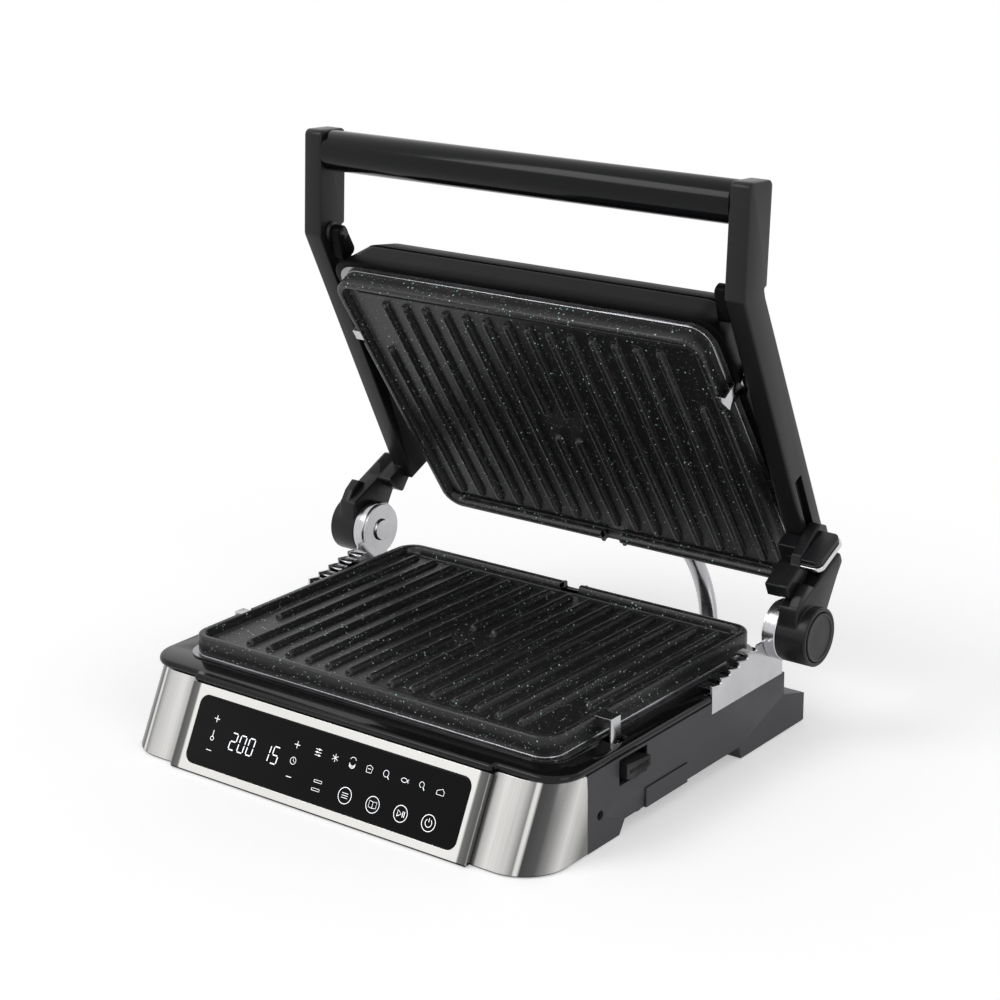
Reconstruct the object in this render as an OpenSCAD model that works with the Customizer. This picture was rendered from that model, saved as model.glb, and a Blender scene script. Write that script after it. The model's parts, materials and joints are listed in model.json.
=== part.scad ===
// Electric contact grill: a heated base and a floating heated lid on two side arms.
// Millimetres. +Z up, +X right, front faces -Y. Origin: middle of the base's footprint, on the table.
// The arms and the lid are drawn shut and flat, then turned about the hinge and the float pivot.

/* [Base] */
// Overall width of the base
base_w = 333; // [320:1:350]
// Depth of the base from its front foot to its rear face
base_d = 300; // [290:1:320]
// How far the front face leans back from bottom to top
front_lean = 25; // [10:1:30]
// Depth of the upper body, from the middle of the footprint to its rear wall
upper_back = 124; // [124:1:134]
// Height of the plastic side walls
wall_z = 50.7; // [48:0.1:53]
// Thickness of the glossy deck above the walls
deck_t = 4.8; // [4:0.1:7]
// Thickness of the plastic walls
wall = 3; // [2:0.5:3.5]
// Radius of the two front corners, seen from above
corner_r = 30; // [20:1:36]
// Height of the finger gap between the front and rear feet
gap_z = 9.4; // [6:0.1:12]
// Height of the rear ledge where it leaves the upper body
ledge_hi = 27.4; // [24:0.1:32]
// Height of the rear ledge at its back edge
ledge_lo = 20; // [16:0.1:22]

/* [Front panel] */
// Width of the raised steel centre panel
panel_w = 238; // [220:1:250]
// How far the centre panel stands proud of the corner wraps
panel_proud = 4.5; // [3:0.5:6]
// Thickness of the steel sheet of the front
steel_t = 1; // [0.6:0.1:1.5]
// Width of the glass display
glass_w = 217; // [190:1:222]
// Height of the glass display along the sloping panel
glass_h = 43.6; // [34:0.2:46]
// Thickness of the glass display
glass_t = 3; // [2:0.5:4]
// Corner radius of the glass display
glass_r = 6.5; // [3:0.5:10]

/* [Plates] */
// Width of each cooking plate
plate_w = 290; // [280:1:294]
// Depth of each cooking plate
plate_d = 224; // [216:1:226]
// Front edge of the plates, from the middle of the footprint
plate_front = -101.5; // [-104:0.5:-98]
// Height of each plate's rim
plate_t = 12.9; // [11:0.1:15]
// Corner radius of the plates
plate_r = 14; // [8:1:18]
// Width of the rim around the cooking face
rim_w = 6; // [4:0.5:8]
// Depth of the cooking face below the rim
face_drop = 5.2; // [4:0.1:6]
// Number of ribs on each plate
rib_n = 16; // [12:2:18]
// Distance between ribs
rib_pitch = 16.8; // [14:0.1:17]
// Height of a rib above the cooking face
rib_h = 3.6; // [2:0.1:4]
// Width of a rib at its foot
rib_w = 6; // [4:0.5:8]
// Width of the pouring lip in the middle of the rear rim
spout_w = 16; // [10:1:24]
// Gap between the rims when the lid is shut
shut_gap = 0.6; // [0.4:0.1:2]

/* [Hinge and arms] */
// Hinge axis behind the middle of the footprint
hinge_y = 115; // [112:0.5:118]
// Hinge axis above the table
hinge_z = 76.5; // [74:0.5:79]
// Radius of the hinge barrel
barrel_r = 19.2; // [17:0.1:21]
// Outer end of the hinge barrel from the middle plane
barrel_out = 196.5; // [192:0.5:200]
// Diameter of the hinge pin
pin_d = 10; // [8:0.5:12]
// Thickness of each arm
arm_t = 14.3; // [11:0.1:15]
// Inner face of each arm from the middle plane
arm_in = 159; // [158:0.5:161]
// Angle by which the arms stand open at rest
open_angle = 71.4; // [40:0.1:80]
// Angle by which the lid has swung on its float pivot at rest
float_angle = 14.1; // [6:0.1:16]
// Diameter of the grip bar between the arms
grip_d = 27; // [22:0.5:32]
// Radial running clearance of pins in their bores
run_gap = 0.05; // [0.02:0.01:0.1]

/* [Lid] */
// Half width of the lid housing at its rim
lid_half = 154; // [151:0.5:157]
// Height of the lid housing above the plate rim when shut
lid_h = 56; // [46:1:64]

/* [Small moving parts] */
// Travel of the hinge push button
button_travel = 3; // [2:0.5:4]
// Travel of the height slider along its slot
slider_travel = 42; // [20:1:44]
// Travel of the drip tray
tray_travel = 95; // [60:1:100]
// Length of the drip tray's front
tray_w = 45; // [40:1:60]
// Height of the drip tray's front
tray_h = 12.2; // [10:0.1:14]

/* [Conduit] */
// Outer diameter of the steel conduit
hose_d = 12; // [9:0.5:14]
// Spare length of the conduit, as a share of the straight way
hose_slack = 0.12; // [0.05:0.01:0.3]

/* [Hidden] */

tiny = 0.01;
half_w = base_w / 2;
y_front = -base_d / 2;
// the plastic stands this far off the table, on its rubber feet
foot_show = 0.8;
y_rear = base_d / 2;
deck_z = wall_z + deck_t;
sole_z = 1.3;
lean = atan(front_lean / (wall_z - sole_z));
panel_len = (wall_z - sole_z) / cos(lean);
wrap_rear = -95;

// plates, as they lie when shut
flange_t = 1;
rim_z = deck_z + flange_t + plate_t;
plate_back = plate_front + plate_d;
plate_mid = plate_front + plate_d / 2;
plate_half = plate_w / 2;
lid_rim_z = rim_z + shut_gap;
floor_t = 4.3;
rib_len = plate_d - 2 * rim_w - 20;
latch_y = -50;
latch_w = 10;

// hinge and float pivot
disc_t = 8.5;
bracket_t = 1.5;
bracket_out = half_w - 0.1;
disc_out = bracket_out + disc_t;
side_gap = 0.3;
barrel_in = disc_out + side_gap;
arm_out = arm_in + arm_t;
arm_h = 21.5;
handle_h = 25.5;
kink_y = -118.6;
kink_z = 89.8;
arm_slope = 6.5;
handle_rise = 158;
handle_len = 70;
pivot_y = kink_y + 3.1;
pivot_z = kink_z + 11.7;
float_pin_d = 8;

module at_hinge() { translate([0, hinge_y, hinge_z]) children(); }
module arms_pose() {
    at_hinge() rotate([-open_angle, 0, 0]) translate([0, -hinge_y, -hinge_z]) children();
}
module lid_pose() {
    arms_pose() translate([0, pivot_y, pivot_z]) rotate([float_angle, 0, 0])
        translate([0, -pivot_y, -pivot_z]) children();
}
// a profile drawn as [y, z] and carried along X from x0 to x1
module slab(x0, x1) {
    translate([x0, 0, 0]) rotate([90, 0, 90]) linear_extrude(x1 - x0) children();
}
module bar_x(x0, x1, y, z, d) {
    translate([x0, y, z]) rotate([0, 90, 0]) cylinder(d = d, h = x1 - x0, $fn = 48);
}
module block(x0, x1, y0, y1, z0, z1) {
    translate([x0, y0, z0]) cube([x1 - x0, y1 - y0, z1 - z0]);
}
module round_rect(x0, x1, y0, y1, r) {
    translate([x0 + r, y0 + r]) square([x1 - x0 - 2 * r, y1 - y0 - 2 * r]);
    translate([x0 + r, y0]) square([x1 - x0 - 2 * r, y1 - y0]);
    translate([x0, y0 + r]) square([x1 - x0, y1 - y0 - 2 * r]);
    for (x = [x0 + r, x1 - r], y = [y0 + r, y1 - r]) translate([x, y]) circle(r, $fn = 48);
}
module both_sides() {
    children();
    mirror([1, 0, 0]) children();
}

// ---- base shells ----
// plan of the body at height z: the front leans back and its corners are round
function front_at(z) = y_front + panel_proud + front_lean * (z - sole_z) / (wall_z - sole_z);
module body_plan(z, inset, back) {
    y0 = front_at(z) + inset;
    x = half_w - inset;
    difference() {
        round_rect(-x, x, y0, y0 + 4 * corner_r, corner_r - inset);
        translate([-x - 1, y0 + 2 * corner_r]) square([2 * x + 2, 4 * corner_r]);
    }
    translate([-x, y0 + 2 * corner_r - tiny]) square([2 * x, back - y0 - 2 * corner_r]);
}
module body_slice(z, inset, back, t) {
    translate([0, 0, z]) linear_extrude(t) body_plan(z, inset, back);
}
module body_loft(z0, z1, inset, back) {
    hull() {
        body_slice(z0, inset, back, tiny);
        body_slice(z1 - tiny, inset, back, tiny);
    }
}
module front_region(back) { block(-half_w - 1, half_w + 1, y_front - 20, back, -1, 90); }

foot_front_end = -62.5;
foot_rear_start = 72.7;
foot_slant = 5.5;
module front_foot_profile() {
    polygon([[wrap_rear, foot_show], [foot_front_end, foot_show], [foot_front_end + foot_slant, gap_z],
        [wrap_rear, gap_z]]);
}
module rear_foot_profile(back) {
    polygon([[foot_rear_start, foot_show], [back, foot_show], [back, gap_z], [foot_rear_start - 2, gap_z]]);
}
module side_profile() {
    front_foot_profile();
    rear_foot_profile(y_rear);
    polygon([[wrap_rear, gap_z - tiny], [y_rear, gap_z - tiny], [y_rear, ledge_lo], [upper_back, ledge_hi],
        [upper_back, bracket_z0], [bracket_front, bracket_z0], [bracket_front, wall_z], [wrap_rear, wall_z]]);
}
bracket_front = 37.5;
bracket_z0 = 43;
foot_w = 14;
tray_y0 = -35.5;
tray_z0 = 8.8;
button_y0 = -72;
button_y1 = -33;
button_z0 = 33;
button_z1 = 50;
ledge_slope = atan((ledge_hi - ledge_lo) / (y_rear - upper_back));
// the sloping rear ledge as a plane: origin on the ledge at hose_y, z outwards
module on_ledge(x) {
    translate([x, hose_y, ledge_hi - (hose_y - upper_back) * tan(ledge_slope)]) rotate([-ledge_slope, 0, 0])
        children();
}
module base_tub() {
    color("#4b484d") difference() {
        union() {
            both_sides() slab(half_w - wall, half_w) side_profile();
            block(-half_w + wall, half_w - wall, upper_back - wall, upper_back, ledge_hi - wall, wall_z);
            slab(-half_w + wall, half_w - wall) polygon([[upper_back - wall, ledge_hi - wall],
                [y_rear - wall, ledge_lo - wall], [y_rear - wall, foot_show], [y_rear, foot_show],
                [y_rear, ledge_lo], [upper_back, ledge_hi], [upper_back - wall, ledge_hi]]);
            both_sides() slab(half_w - foot_w, half_w - wall) front_foot_profile();
            both_sides() slab(half_w - foot_w, half_w - wall) rear_foot_profile(y_rear - wall);
            for (x = [-rear_screw_x, rear_screw_x]) translate([x, rear_screw_y, pan_top])
                cylinder(d = post_d, h = post_top - pan_top, $fn = 32);
        }
        block(half_w - wall - 1, half_w + 1, tray_y0 - 0.6, tray_y0 + tray_w + 0.6, -1, tray_z0 + tray_h + 0.6);
        block(half_w - wall - 1, half_w + 1, button_y0 + 9, button_y1 - 1, button_z0 - 0.6, button_z1 - 1);
        bar_x(half_w - wall - 1, half_w + 1, -82.3, 21.1, 6);
        mains_gland_hole();
        both_sides() for (i = [0:7])
            block(68 + 6 * i, 71 + 6 * i, upper_back - wall - 1, upper_back + 1, 32, 44);
        on_ledge(hose_x) translate([0, 0, -8]) cylinder(d = gland_d, h = 16, $fn = 48);
        chute_pose() block(-chute_w / 2 - 0.3, chute_w / 2 + 0.3, -40, 5, -0.3, 12);
        both_sides() for (y = bracket_screw_y) bar_x(leg_x - 1, leg_x + 1.9, y, bracket_z0 - 9, screw_d);
        for (x = [-rear_screw_x, rear_screw_x]) translate([x, rear_screw_y, pan_top - 1])
            cylinder(d = screw_d, h = 9, $fn = 32);
        foot_pockets();
    }
}
post_d = 9;
screw_d = 4.1;
pan_z = 3;
pan_t = 2.5;
pan_top = pan_z + pan_t;
rear_screw_x = 60;
rear_screw_y = 136;
// the rear posts run up into the underside of the sloping ledge
post_top = ledge_hi - wall - (rear_screw_y - post_d / 2 - upper_back + wall) * tan(ledge_slope) + 0.2;
front_screw_x = 126;
front_screw_y = -106;
front_floor_t = 2.5;
module centre_bump(z, inset, t) {
    translate([-panel_w / 2 + inset, front_at(z) - panel_proud + inset, z])
        cube([panel_w - 2 * inset, 4 * panel_proud, t]);
}
module bottom_pan() {
    color("#1d1c1f") difference() {
        union() {
            intersection() {
                body_slice(foot_show, 0.4, 0, sole_z - foot_show);
                front_region(wrap_rear);
            }
            translate([0, 0, foot_show - sole_z]) centre_bump(sole_z, 0.4, sole_z - foot_show);
            intersection() {
                translate([0, 0, foot_show]) linear_extrude(front_floor_t)
                    body_plan(foot_show + front_floor_t, steel_t + 0.4, 0);
                front_region(wrap_rear);
            }
            block(-half_w + foot_w + 0.4, half_w - foot_w - 0.4, wrap_rear - tiny, y_rear - wall, pan_z, pan_top);
            block(-half_w + foot_w + 0.4, half_w - foot_w - 0.4, wrap_rear - 3, wrap_rear, foot_show, pan_top);
        }
        for (p = pan_screws) translate([p[0], p[1], -1]) cylinder(d = screw_d + 0.4, h = 12, $fn = 32);
        for (p = pan_screws) translate([p[0], p[1], p[2] - 4]) cylinder(d = head_d + 0.4, h = 4, $fn = 32);
        for (x = [-100:12:-40], y = [-40, 20]) block(x, x + 4, y, y + 36, -1, 12);
        foot_pockets();
    }
}
head_d = 7.4;
head_t = 1;
front_seat = foot_show + head_t + 0.1;
pan_screws = [[-front_screw_x, front_screw_y, front_seat], [front_screw_x, front_screw_y, front_seat],
    [-rear_screw_x, rear_screw_y, pan_z], [rear_screw_x, rear_screw_y, pan_z]];
foot_x = 136;
foot_in = half_w - foot_w / 2;
feet_at = [[-foot_x, -122], [foot_x, -122], [-foot_in, 132], [foot_in, 132]];
foot_h = 2;
foot_d = 11;
module foot_pockets() {
    for (p = feet_at) translate([p[0], p[1], -1]) cylinder(d = foot_d + 0.2, h = foot_h + 1, $fn = 48);
}
module rubber_feet() {
    color("#111111") for (p = feet_at) translate([p[0], p[1], 0]) cylinder(d = foot_d, h = foot_h, $fn = 48);
}
module deck_hole(extra) {
    round_rect(-plate_half + 5 - extra, plate_half - 5 + extra, plate_front + 7 - extra,
        plate_back - 9 + extra, 10);
}
deck_side = half_w - wall - bracket_t - 0.3;
module deck_plan(z, inset) {
    body_plan(z, inset, bracket_front);
    y = bracket_front - 1;
    translate([-deck_side, y]) square([2 * deck_side, upper_back - y]);
    x = panel_w / 2 - inset / 2;
    translate([-x, front_at(z) - panel_proud + inset]) square([2 * x, 3 * panel_proud]);
}
module deck_bezel() {
    color("#0c0c0e") difference() {
        union() {
            translate([0, 0, wall_z]) linear_extrude(deck_t - 2) deck_plan(wall_z, 0);
            translate([0, 0, deck_z - 2]) linear_extrude(1) deck_plan(wall_z, 0.8);
            translate([0, 0, deck_z - 1]) linear_extrude(1) deck_plan(wall_z, 2.2);
            for (s = [-1, 1]) translate([s * front_screw_x, front_screw_y, foot_show + front_floor_t])
                cylinder(d = post_d - 1, h = wall_z - front_floor_t, $fn = 32);
            for (y = [latch_y - ear_y - ear_t, latch_y + ear_y])
                block(catch_x - 4, catch_x + 4, y, y + ear_t, catch_z - 4, wall_z + 1);
        }
        translate([0, 0, wall_z - 1]) linear_extrude(deck_t + 2) deck_hole(0);
        both_sides() block(plate_half + 2, plate_half + 14, latch_y - ear_y, latch_y + ear_y, wall_z - 1, deck_z + 1);
        for (s = [-1, 1]) translate([s * front_screw_x, front_screw_y, 0]) cylinder(d = screw_d, h = 14, $fn = 32);
        catch_axis(catch_x, catch_z, 12, catch_pin_d);
    }
}
ear_y = 5.6;
ear_t = 3;
catch_pin_d = 3;
module catch_axis(x, z, half, d) {
    translate([x, latch_y - half, z]) rotate([-90, 0, 0]) cylinder(d = d, h = 2 * half, $fn = 32);
}
module front_frame() {
    color("#202022") difference() {
        intersection() {
            body_loft(sole_z + 2, wall_z, steel_t + 0.2, 0);
            front_region(wrap_rear - 1);
        }
        body_loft(sole_z, wall_z + 1, steel_t + 0.2 + wall, 0);
        on_panel() translate([-glass_w / 2 + 5, glass_v0 + 5, -30]) cube([glass_w - 10, glass_h - 10, 60]);
        for (s = [-1, 1]) translate([s * front_screw_x, front_screw_y, 0]) cylinder(d = post_d, h = 60, $fn = 32);
    }
}
// the sloping front as a plane: x across, y up the slope, z outwards
module on_panel() {
    translate([0, y_front, sole_z]) rotate([90 - lean, 0, 0]) children();
}
glass_v0 = (panel_len - glass_h) / 2;
module panel_shape(grow) {
    translate([-panel_w / 2 - grow, steel_t * tan(lean)]) square([panel_w + 2 * grow, panel_len - steel_t * tan(lean)]);
}
return_lift = panel_proud * tan(lean);
module front_panel() {
    color("#c9c7c2") on_panel() difference() {
        union() {
            translate([0, 0, -steel_t]) linear_extrude(steel_t) panel_shape(0);
            for (s = [-1, 1]) translate([s * (panel_w / 2 - steel_t / 2), panel_len / 2 + return_lift / 2, -panel_proud / 2])
                cube([steel_t, panel_len - return_lift, panel_proud], center = true);
        }
        translate([0, 0, -steel_t - 1]) linear_extrude(steel_t + 2)
            round_rect(-glass_w / 2 - 0.3, glass_w / 2 + 0.3, glass_v0 - 0.3, glass_v0 + glass_h + 0.3, glass_r);
    }
}
module display_glass() {
    color("#050506") on_panel() translate([0, 0, 0.4 - glass_t]) linear_extrude(glass_t)
        round_rect(-glass_w / 2, glass_w / 2, glass_v0, glass_v0 + glass_h, glass_r);
}
module display_board() {
    color("#1f5a3a") on_panel() {
        translate([-glass_w / 2 + 16, glass_v0 + 6, -glass_t - 3.6]) cube([glass_w - 32, glass_h - 12, 1.6]);
        for (x = [-60, -30]) translate([x, glass_v0 + 14, -glass_t - 2]) cube([26, 15, 2.4]);
        for (i = [0:9]) translate([-10 + 9 * i, glass_v0 + 12, -glass_t - 2]) cylinder(d = 6, h = 2.4, $fn = 24);
    }
}
module corner_wrap() {
    difference() {
        intersection() {
            body_loft(sole_z, wall_z, 0, 0);
            block(panel_w / 2 + 0.2, half_w + 1, y_front - 5, wrap_rear, 0, 90);
        }
        body_loft(sole_z - 1, wall_z + 1, steel_t, 0);
    }
}
module corner_wrap_right() { color("#c9c7c2") corner_wrap(); }
module corner_wrap_left() { color("#c9c7c2") mirror([1, 0, 0]) corner_wrap(); }

// ---- inside the base ----
board_z = 12;
module power_board() {
    color("#2a6b45") difference() {
        block(-150, -30, -80, -20, board_z, board_z + 1.6);
        for (p = [[-145, -75], [-35, -75], [-145, -25], [-35, -25]])
            translate([p[0], p[1], board_z - 1]) cylinder(d = 3.4, h = 4, $fn = 32);
    }
    color("#2b2b30") for (x = [-140, -112, -84]) block(x, x + 20, -70, -48, board_z + 1.6, board_z + 17);
    color("#d0a030") block(-60, -40, -70, -40, board_z + 1.6, board_z + 16);
    color("#9a9aa0") for (p = [[-145, -75], [-35, -75], [-145, -25], [-35, -25]])
        translate([p[0], p[1], pan_z + 2.5]) cylinder(d = 7, h = board_z - pan_z - 2.5, $fn = 32);
}
module terminal_block() {
    color("#e8e4d8") difference() {
        block(-110, -60, 60, 78, pan_z + 2.5, pan_z + 18);
        for (i = [0:3]) translate([-103 + 12 * i, 69, pan_z + 6]) cylinder(d = 5, h = 20, $fn = 32);
    }
    color("#b0a060") for (i = [0:3]) translate([-103 + 12 * i, 69, pan_z + 6]) cylinder(d = 4.8, h = 9, $fn = 32);
}
mains_x = -110;
mains_z = 11.3;
mains_d = 10;
module mains_axis() { translate([mains_x, y_rear, mains_z]) rotate([-90, 0, 0]) children(); }
module mains_gland_hole() { mains_axis() translate([0, 0, -wall - 1]) cylinder(d = mains_d + 0.2, h = wall + 2, $fn = 48); }
module mains_gland() {
    color("#17171a") mains_axis() difference() {
        union() {
            translate([0, 0, -wall - 5]) cylinder(d = mains_d, h = wall + 5 + tiny, $fn = 48);
            cylinder(d = mains_d + 3, h = 2, $fn = 48);
            translate([0, 0, -wall - 7]) cylinder(d = mains_d + 1.2, h = 7 - 0.2, $fn = 48);
        }
        translate([0, 0, -wall - 8]) cylinder(d = 7.2, h = 30, $fn = 48);
    }
}
// pressed steel tray under a plate: flange on top, walls and floor; z = 0 is the flange's seat
reflector_grow = 4.6;
reflector_depth = 15;
sheet_t = 0.8;
module reflector() {
    difference() {
        union() {
            linear_extrude(flange_t) round_rect(-plate_half - reflector_grow, plate_half + reflector_grow,
                plate_front - 3, plate_back + 1.5, plate_r + 3);
            translate([0, 0, -reflector_depth]) linear_extrude(reflector_depth) deck_hole(-1);
        }
        translate([0, 0, -reflector_depth + sheet_t]) linear_extrude(reflector_depth + 5) deck_hole(-1 - sheet_t);
        translate([0, 0, -reflector_depth - 1]) cylinder(d = 26, h = 5, $fn = 48);
        for (x = [-heater_x, heater_x]) translate([x, heater_back, -reflector_depth - 1]) cylinder(d = 10, h = 5, $fn = 32);
        both_sides() block(plate_half + 1.2, plate_half + 12, latch_y - ear_y, latch_y + ear_y, -1, 3);
    }
}
module lower_reflector() { color("#b8b8b8") translate([0, 0, deck_z]) reflector(); }
// cast plate, cooking face up, z = 0 is the rim's top
module rib(x, y0, y1) {
    translate([x, 0, -face_drop - tiny]) rotate([-90, 0, 0]) translate([0, 0, y0]) linear_extrude(y1 - y0)
        polygon([[-rib_w / 2, 0], [rib_w / 2, 0], [rib_w / 2 - 1, -rib_h + 1], [rib_w / 2 - 2, -rib_h],
            [-rib_w / 2 + 2, -rib_h], [-rib_w / 2 + 1, -rib_h + 1]]);
}
rib_y0 = plate_mid - rib_len / 2 + 1.5;
rib_y1 = plate_mid + rib_len / 2 + 1.5;
module casting() {
    difference() {
        union() {
            translate([0, 0, -plate_t]) linear_extrude(plate_t)
                round_rect(-plate_half, plate_half, plate_front, plate_back, plate_r);
            block(-spout_w / 2 - 2.5, spout_w / 2 + 2.5, plate_back - 4, plate_back + 4, -face_drop - 3, -1.5);
        }
        translate([0, 0, -face_drop]) linear_extrude(face_drop + 1)
            round_rect(-plate_half + rim_w, plate_half - rim_w, plate_front + rim_w, plate_back - rim_w, plate_r - 5);
        for (y = [plate_front + rim_w, plate_back - rim_w - 6]) block(-plate_half + 14, plate_half - 14, y + 0.5,
            y + 6, -face_drop - 1.2, 1);
        block(-spout_w / 2, spout_w / 2, plate_back - rim_w - 1, plate_back + 5, -face_drop - 0.6, 1);
        translate([0, 0, -plate_t - 1]) linear_extrude(plate_t - face_drop - floor_t + 1)
            round_rect(-plate_half + 5, plate_half - 5, plate_front + 5, plate_back - 5, plate_r - 4);
        for (s = [-1, 1]) translate([s * (plate_half - 1.5), latch_y, -1]) cube([3.2, latch_w + 3, 2.2], center = true);
    }
    for (i = [0:rib_n - 1]) {
        x = (i - (rib_n - 1) / 2) * rib_pitch;
        outer = i == 0 || i == rib_n - 1;
        middle = i == rib_n / 2 - 1 || i == rib_n / 2;
        if (middle) {
            rib(x, rib_y0, plate_mid - 10);
            rib(x, plate_mid + 10, rib_y1);
        } else rib(x, outer ? latch_y + 12 : rib_y0, rib_y1);
    }
    for (s = [-1, 1], y = [plate_mid - 60, plate_mid + 60]) translate([s * 60, y, -plate_t + 1.2])
        cylinder(d = 12, h = plate_t - face_drop - floor_t, $fn = 48);
}
module lower_plate() { color("#2b2b2d") translate([0, 0, rim_z]) casting(); }
// tubular heater: two long loops, z = 0 is the tube's axis
tube_d = 6.5;
heater_x = 100;
heater_back = plate_back - 40;
module tube_y(x, y0, y1) { translate([x, y0, 0]) rotate([-90, 0, 0]) cylinder(d = tube_d, h = y1 - y0, $fn = 32); }
module bend(x, y, r, a0) {
    translate([x, y, 0]) rotate([0, 0, a0]) rotate_extrude(angle = 180, $fn = 64)
        translate([r, 0]) circle(d = tube_d, $fn = 24);
}
module heater() {
    y0 = plate_front + 50;
    y1 = heater_back - 30;
    for (x = [-100, -34, 34, 100]) tube_y(x, y0 - tiny, x * x > 5000 ? heater_back : y1 + tiny);
    bend(-67, y0, 33, 180);
    bend(67, y0, 33, 180);
    bend(0, y1, 34, 0);
    for (x = [-heater_x, heater_x]) translate([x, heater_back, -14]) cylinder(d = tube_d - 0.1, h = 14, $fn = 32);
}
heater_z = rim_z - plate_t + 0.4;
module lower_heater() { color("#8d8a86") translate([0, 0, heater_z - 1]) heater(); }
sensor_d = 16;
module sensor() {
    cylinder(d = sensor_d, h = 5, $fn = 48);
    translate([0, 0, -14]) cylinder(d = 9, h = 14, $fn = 32);
    translate([0, 0, -16]) cylinder(d = 22, h = 2, $fn = 48);
}
sensor_z = rim_z - face_drop - floor_t - 5.3;
module lower_sensor() { color("#c2bdb2") translate([0, 0, sensor_z]) sensor(); }
tab_t = 1.2;
hook_z = rim_z - 1.9 + 0.2;
module lower_fixed_tab() {
    color("#c6c6c6") mirror([1, 0, 0]) {
        block(plate_half - 2.4, plate_half + 4.4, latch_y - 4, latch_y + 4, hook_z, hook_z + tab_t);
        block(plate_half + 3, plate_half + 4.4, latch_y - 4, latch_y + 4, wall_z - tab_t, hook_z + tab_t);
        block(plate_half + 3, plate_half + 11, latch_y - 9, latch_y + 9, wall_z - tab_t, wall_z);
    }
}

// ---- drip tray ----
tray_in = 118;
module tray_runners() {
    color("#3a3a3e") for (y = [tray_y0 - 3.4, tray_y0 + tray_w - 1]) difference() {
        block(half_w - wall - tray_in - 10, half_w - wall - 1, y, y + 4.4, pan_z + 2.5, tray_z0 + tray_h - 1);
        block(half_w - wall - tray_in - 11, half_w, tray_y0 + 0.7, tray_y0 + tray_w - 0.7, tray_z0 - 1.2, tray_z0 + 6);
    }
}
module drip_tray() {
    color("#343237") difference() {
        union() {
            block(half_w - wall - tray_in, half_w - 0.5, tray_y0 + 4, tray_y0 + tray_w - 4, tray_z0, tray_z0 + tray_h - 2);
            block(half_w - wall - tray_in, half_w - 4, tray_y0 + 1, tray_y0 + tray_w - 1, tray_z0 + 3.6, tray_z0 + 5.4);
            block(half_w - wall, half_w + 0.8, tray_y0, tray_y0 + tray_w, tray_z0 - 0.4, tray_z0 + tray_h);
        }
        block(half_w - wall - tray_in + 2, half_w - wall - 2, tray_y0 + 6, tray_y0 + tray_w - 6, tray_z0 + 1.6, 60);
    }
}
chute_w = 22;
chute_z = 31;
chute_wall = 1.2;
chute_fall = 3.6;
chute_mouth_y = upper_back + 9;
chute_end = [72, -14];
chute_turn = atan2(chute_end[0], chute_mouth_y - chute_end[1]);
chute_len = norm([chute_end[0], chute_mouth_y - chute_end[1]]);
module chute_pose() {
    translate([0, chute_mouth_y, chute_z]) rotate([0, 0, chute_turn]) rotate([chute_fall, 0, 0]) children();
}
// sloping channel from under the pouring lip to the drip tray
module grease_chute() {
    color("#9c9c9c") chute_pose() difference() {
        block(-chute_w / 2, chute_w / 2, -chute_len, 0, 0, 7);
        block(-chute_w / 2 + chute_wall, chute_w / 2 - chute_wall, -chute_len - 1, -chute_wall, chute_wall, 9);
    }
}

// ---- hinge on the base ----
step_n = 5;
step_pitch = 10.4;
step_z0 = 61.5;
step_rise = 2.1;
step_dip = 1.5;
plateau_z = 72.3;
bracket_back = 121;
tab_w = 10;
leg_x = half_w - wall;
module step_profile() {
    stairs = [for (i = [0:step_n - 1], e = [0, 1])
        [bracket_front + step_pitch * (i + e), step_z0 + step_rise * i - step_dip * e]];
    end_y = bracket_front + step_pitch * step_n;
    polygon(concat([[bracket_front, bracket_z0]], stairs,
        [[end_y, plateau_z], [hinge_y, plateau_z], [bracket_back, hinge_z - 10], [bracket_back, bracket_z0]]));
}
module hinge_bracket() {
    difference() {
        union() {
            slab(bracket_out - bracket_t, bracket_out) step_profile();
            bar_x(bracket_out - bracket_t, bracket_out, hinge_y, hinge_z, 2 * barrel_r - 2);
            block(leg_x - bracket_t, bracket_out, bracket_front + 2, bracket_back - 4, bracket_z0, bracket_z0 + 1.5);
            block(leg_x - bracket_t, leg_x, bracket_front + 2, bracket_back - 4, bracket_z0 - 16, bracket_z0 + 1.5);
            for (i = [0:step_n - 1]) block(bracket_out - tab_w, bracket_out - bracket_t + tiny,
                bracket_front + step_pitch * i + 0.6, bracket_front + step_pitch * (i + 1) - 1,
                step_z0 + step_rise * i - step_dip - bracket_t, step_z0 + step_rise * i - step_dip);
        }
        bar_x(bracket_out - tab_w, bracket_out + 1, hinge_y, hinge_z, pin_d);
        for (y = bracket_screw_y) bar_x(leg_x - bracket_t - 1, leg_x + 1, y, bracket_z0 - 9, 4.2);
    }
}
bracket_screw_y = [50, 78, 106];
module hinge_bracket_right() { color("#cfcfd2") hinge_bracket(); }
module hinge_bracket_left() { color("#cfcfd2") mirror([1, 0, 0]) hinge_bracket(); }
module hinge_disc() {
    difference() {
        bar_x(bracket_out, disc_out, hinge_y, hinge_z, 2 * barrel_r + 0.6);
        bar_x(bracket_out - 1, disc_out + 1, hinge_y, hinge_z, pin_d);
    }
}
module hinge_disc_right() { color("#d6d6d8") hinge_disc(); }
module hinge_disc_left() { color("#d6d6d8") mirror([1, 0, 0]) hinge_disc(); }
pin_in = bracket_out - bracket_t - 4;
pocket_in = barrel_out - 12;
pin_out = pocket_in + 3;
module hinge_pin() {
    bar_x(pin_in + 4, pin_out, hinge_y, hinge_z, pin_d);
    bar_x(pin_in, pin_in + 4, hinge_y, hinge_z, pin_d + 6);
}
module hinge_pin_right() { color("#a8a8ac") hinge_pin(); }
module hinge_pin_left() { color("#a8a8ac") mirror([1, 0, 0]) hinge_pin(); }
clip_t = 1.2;
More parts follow.
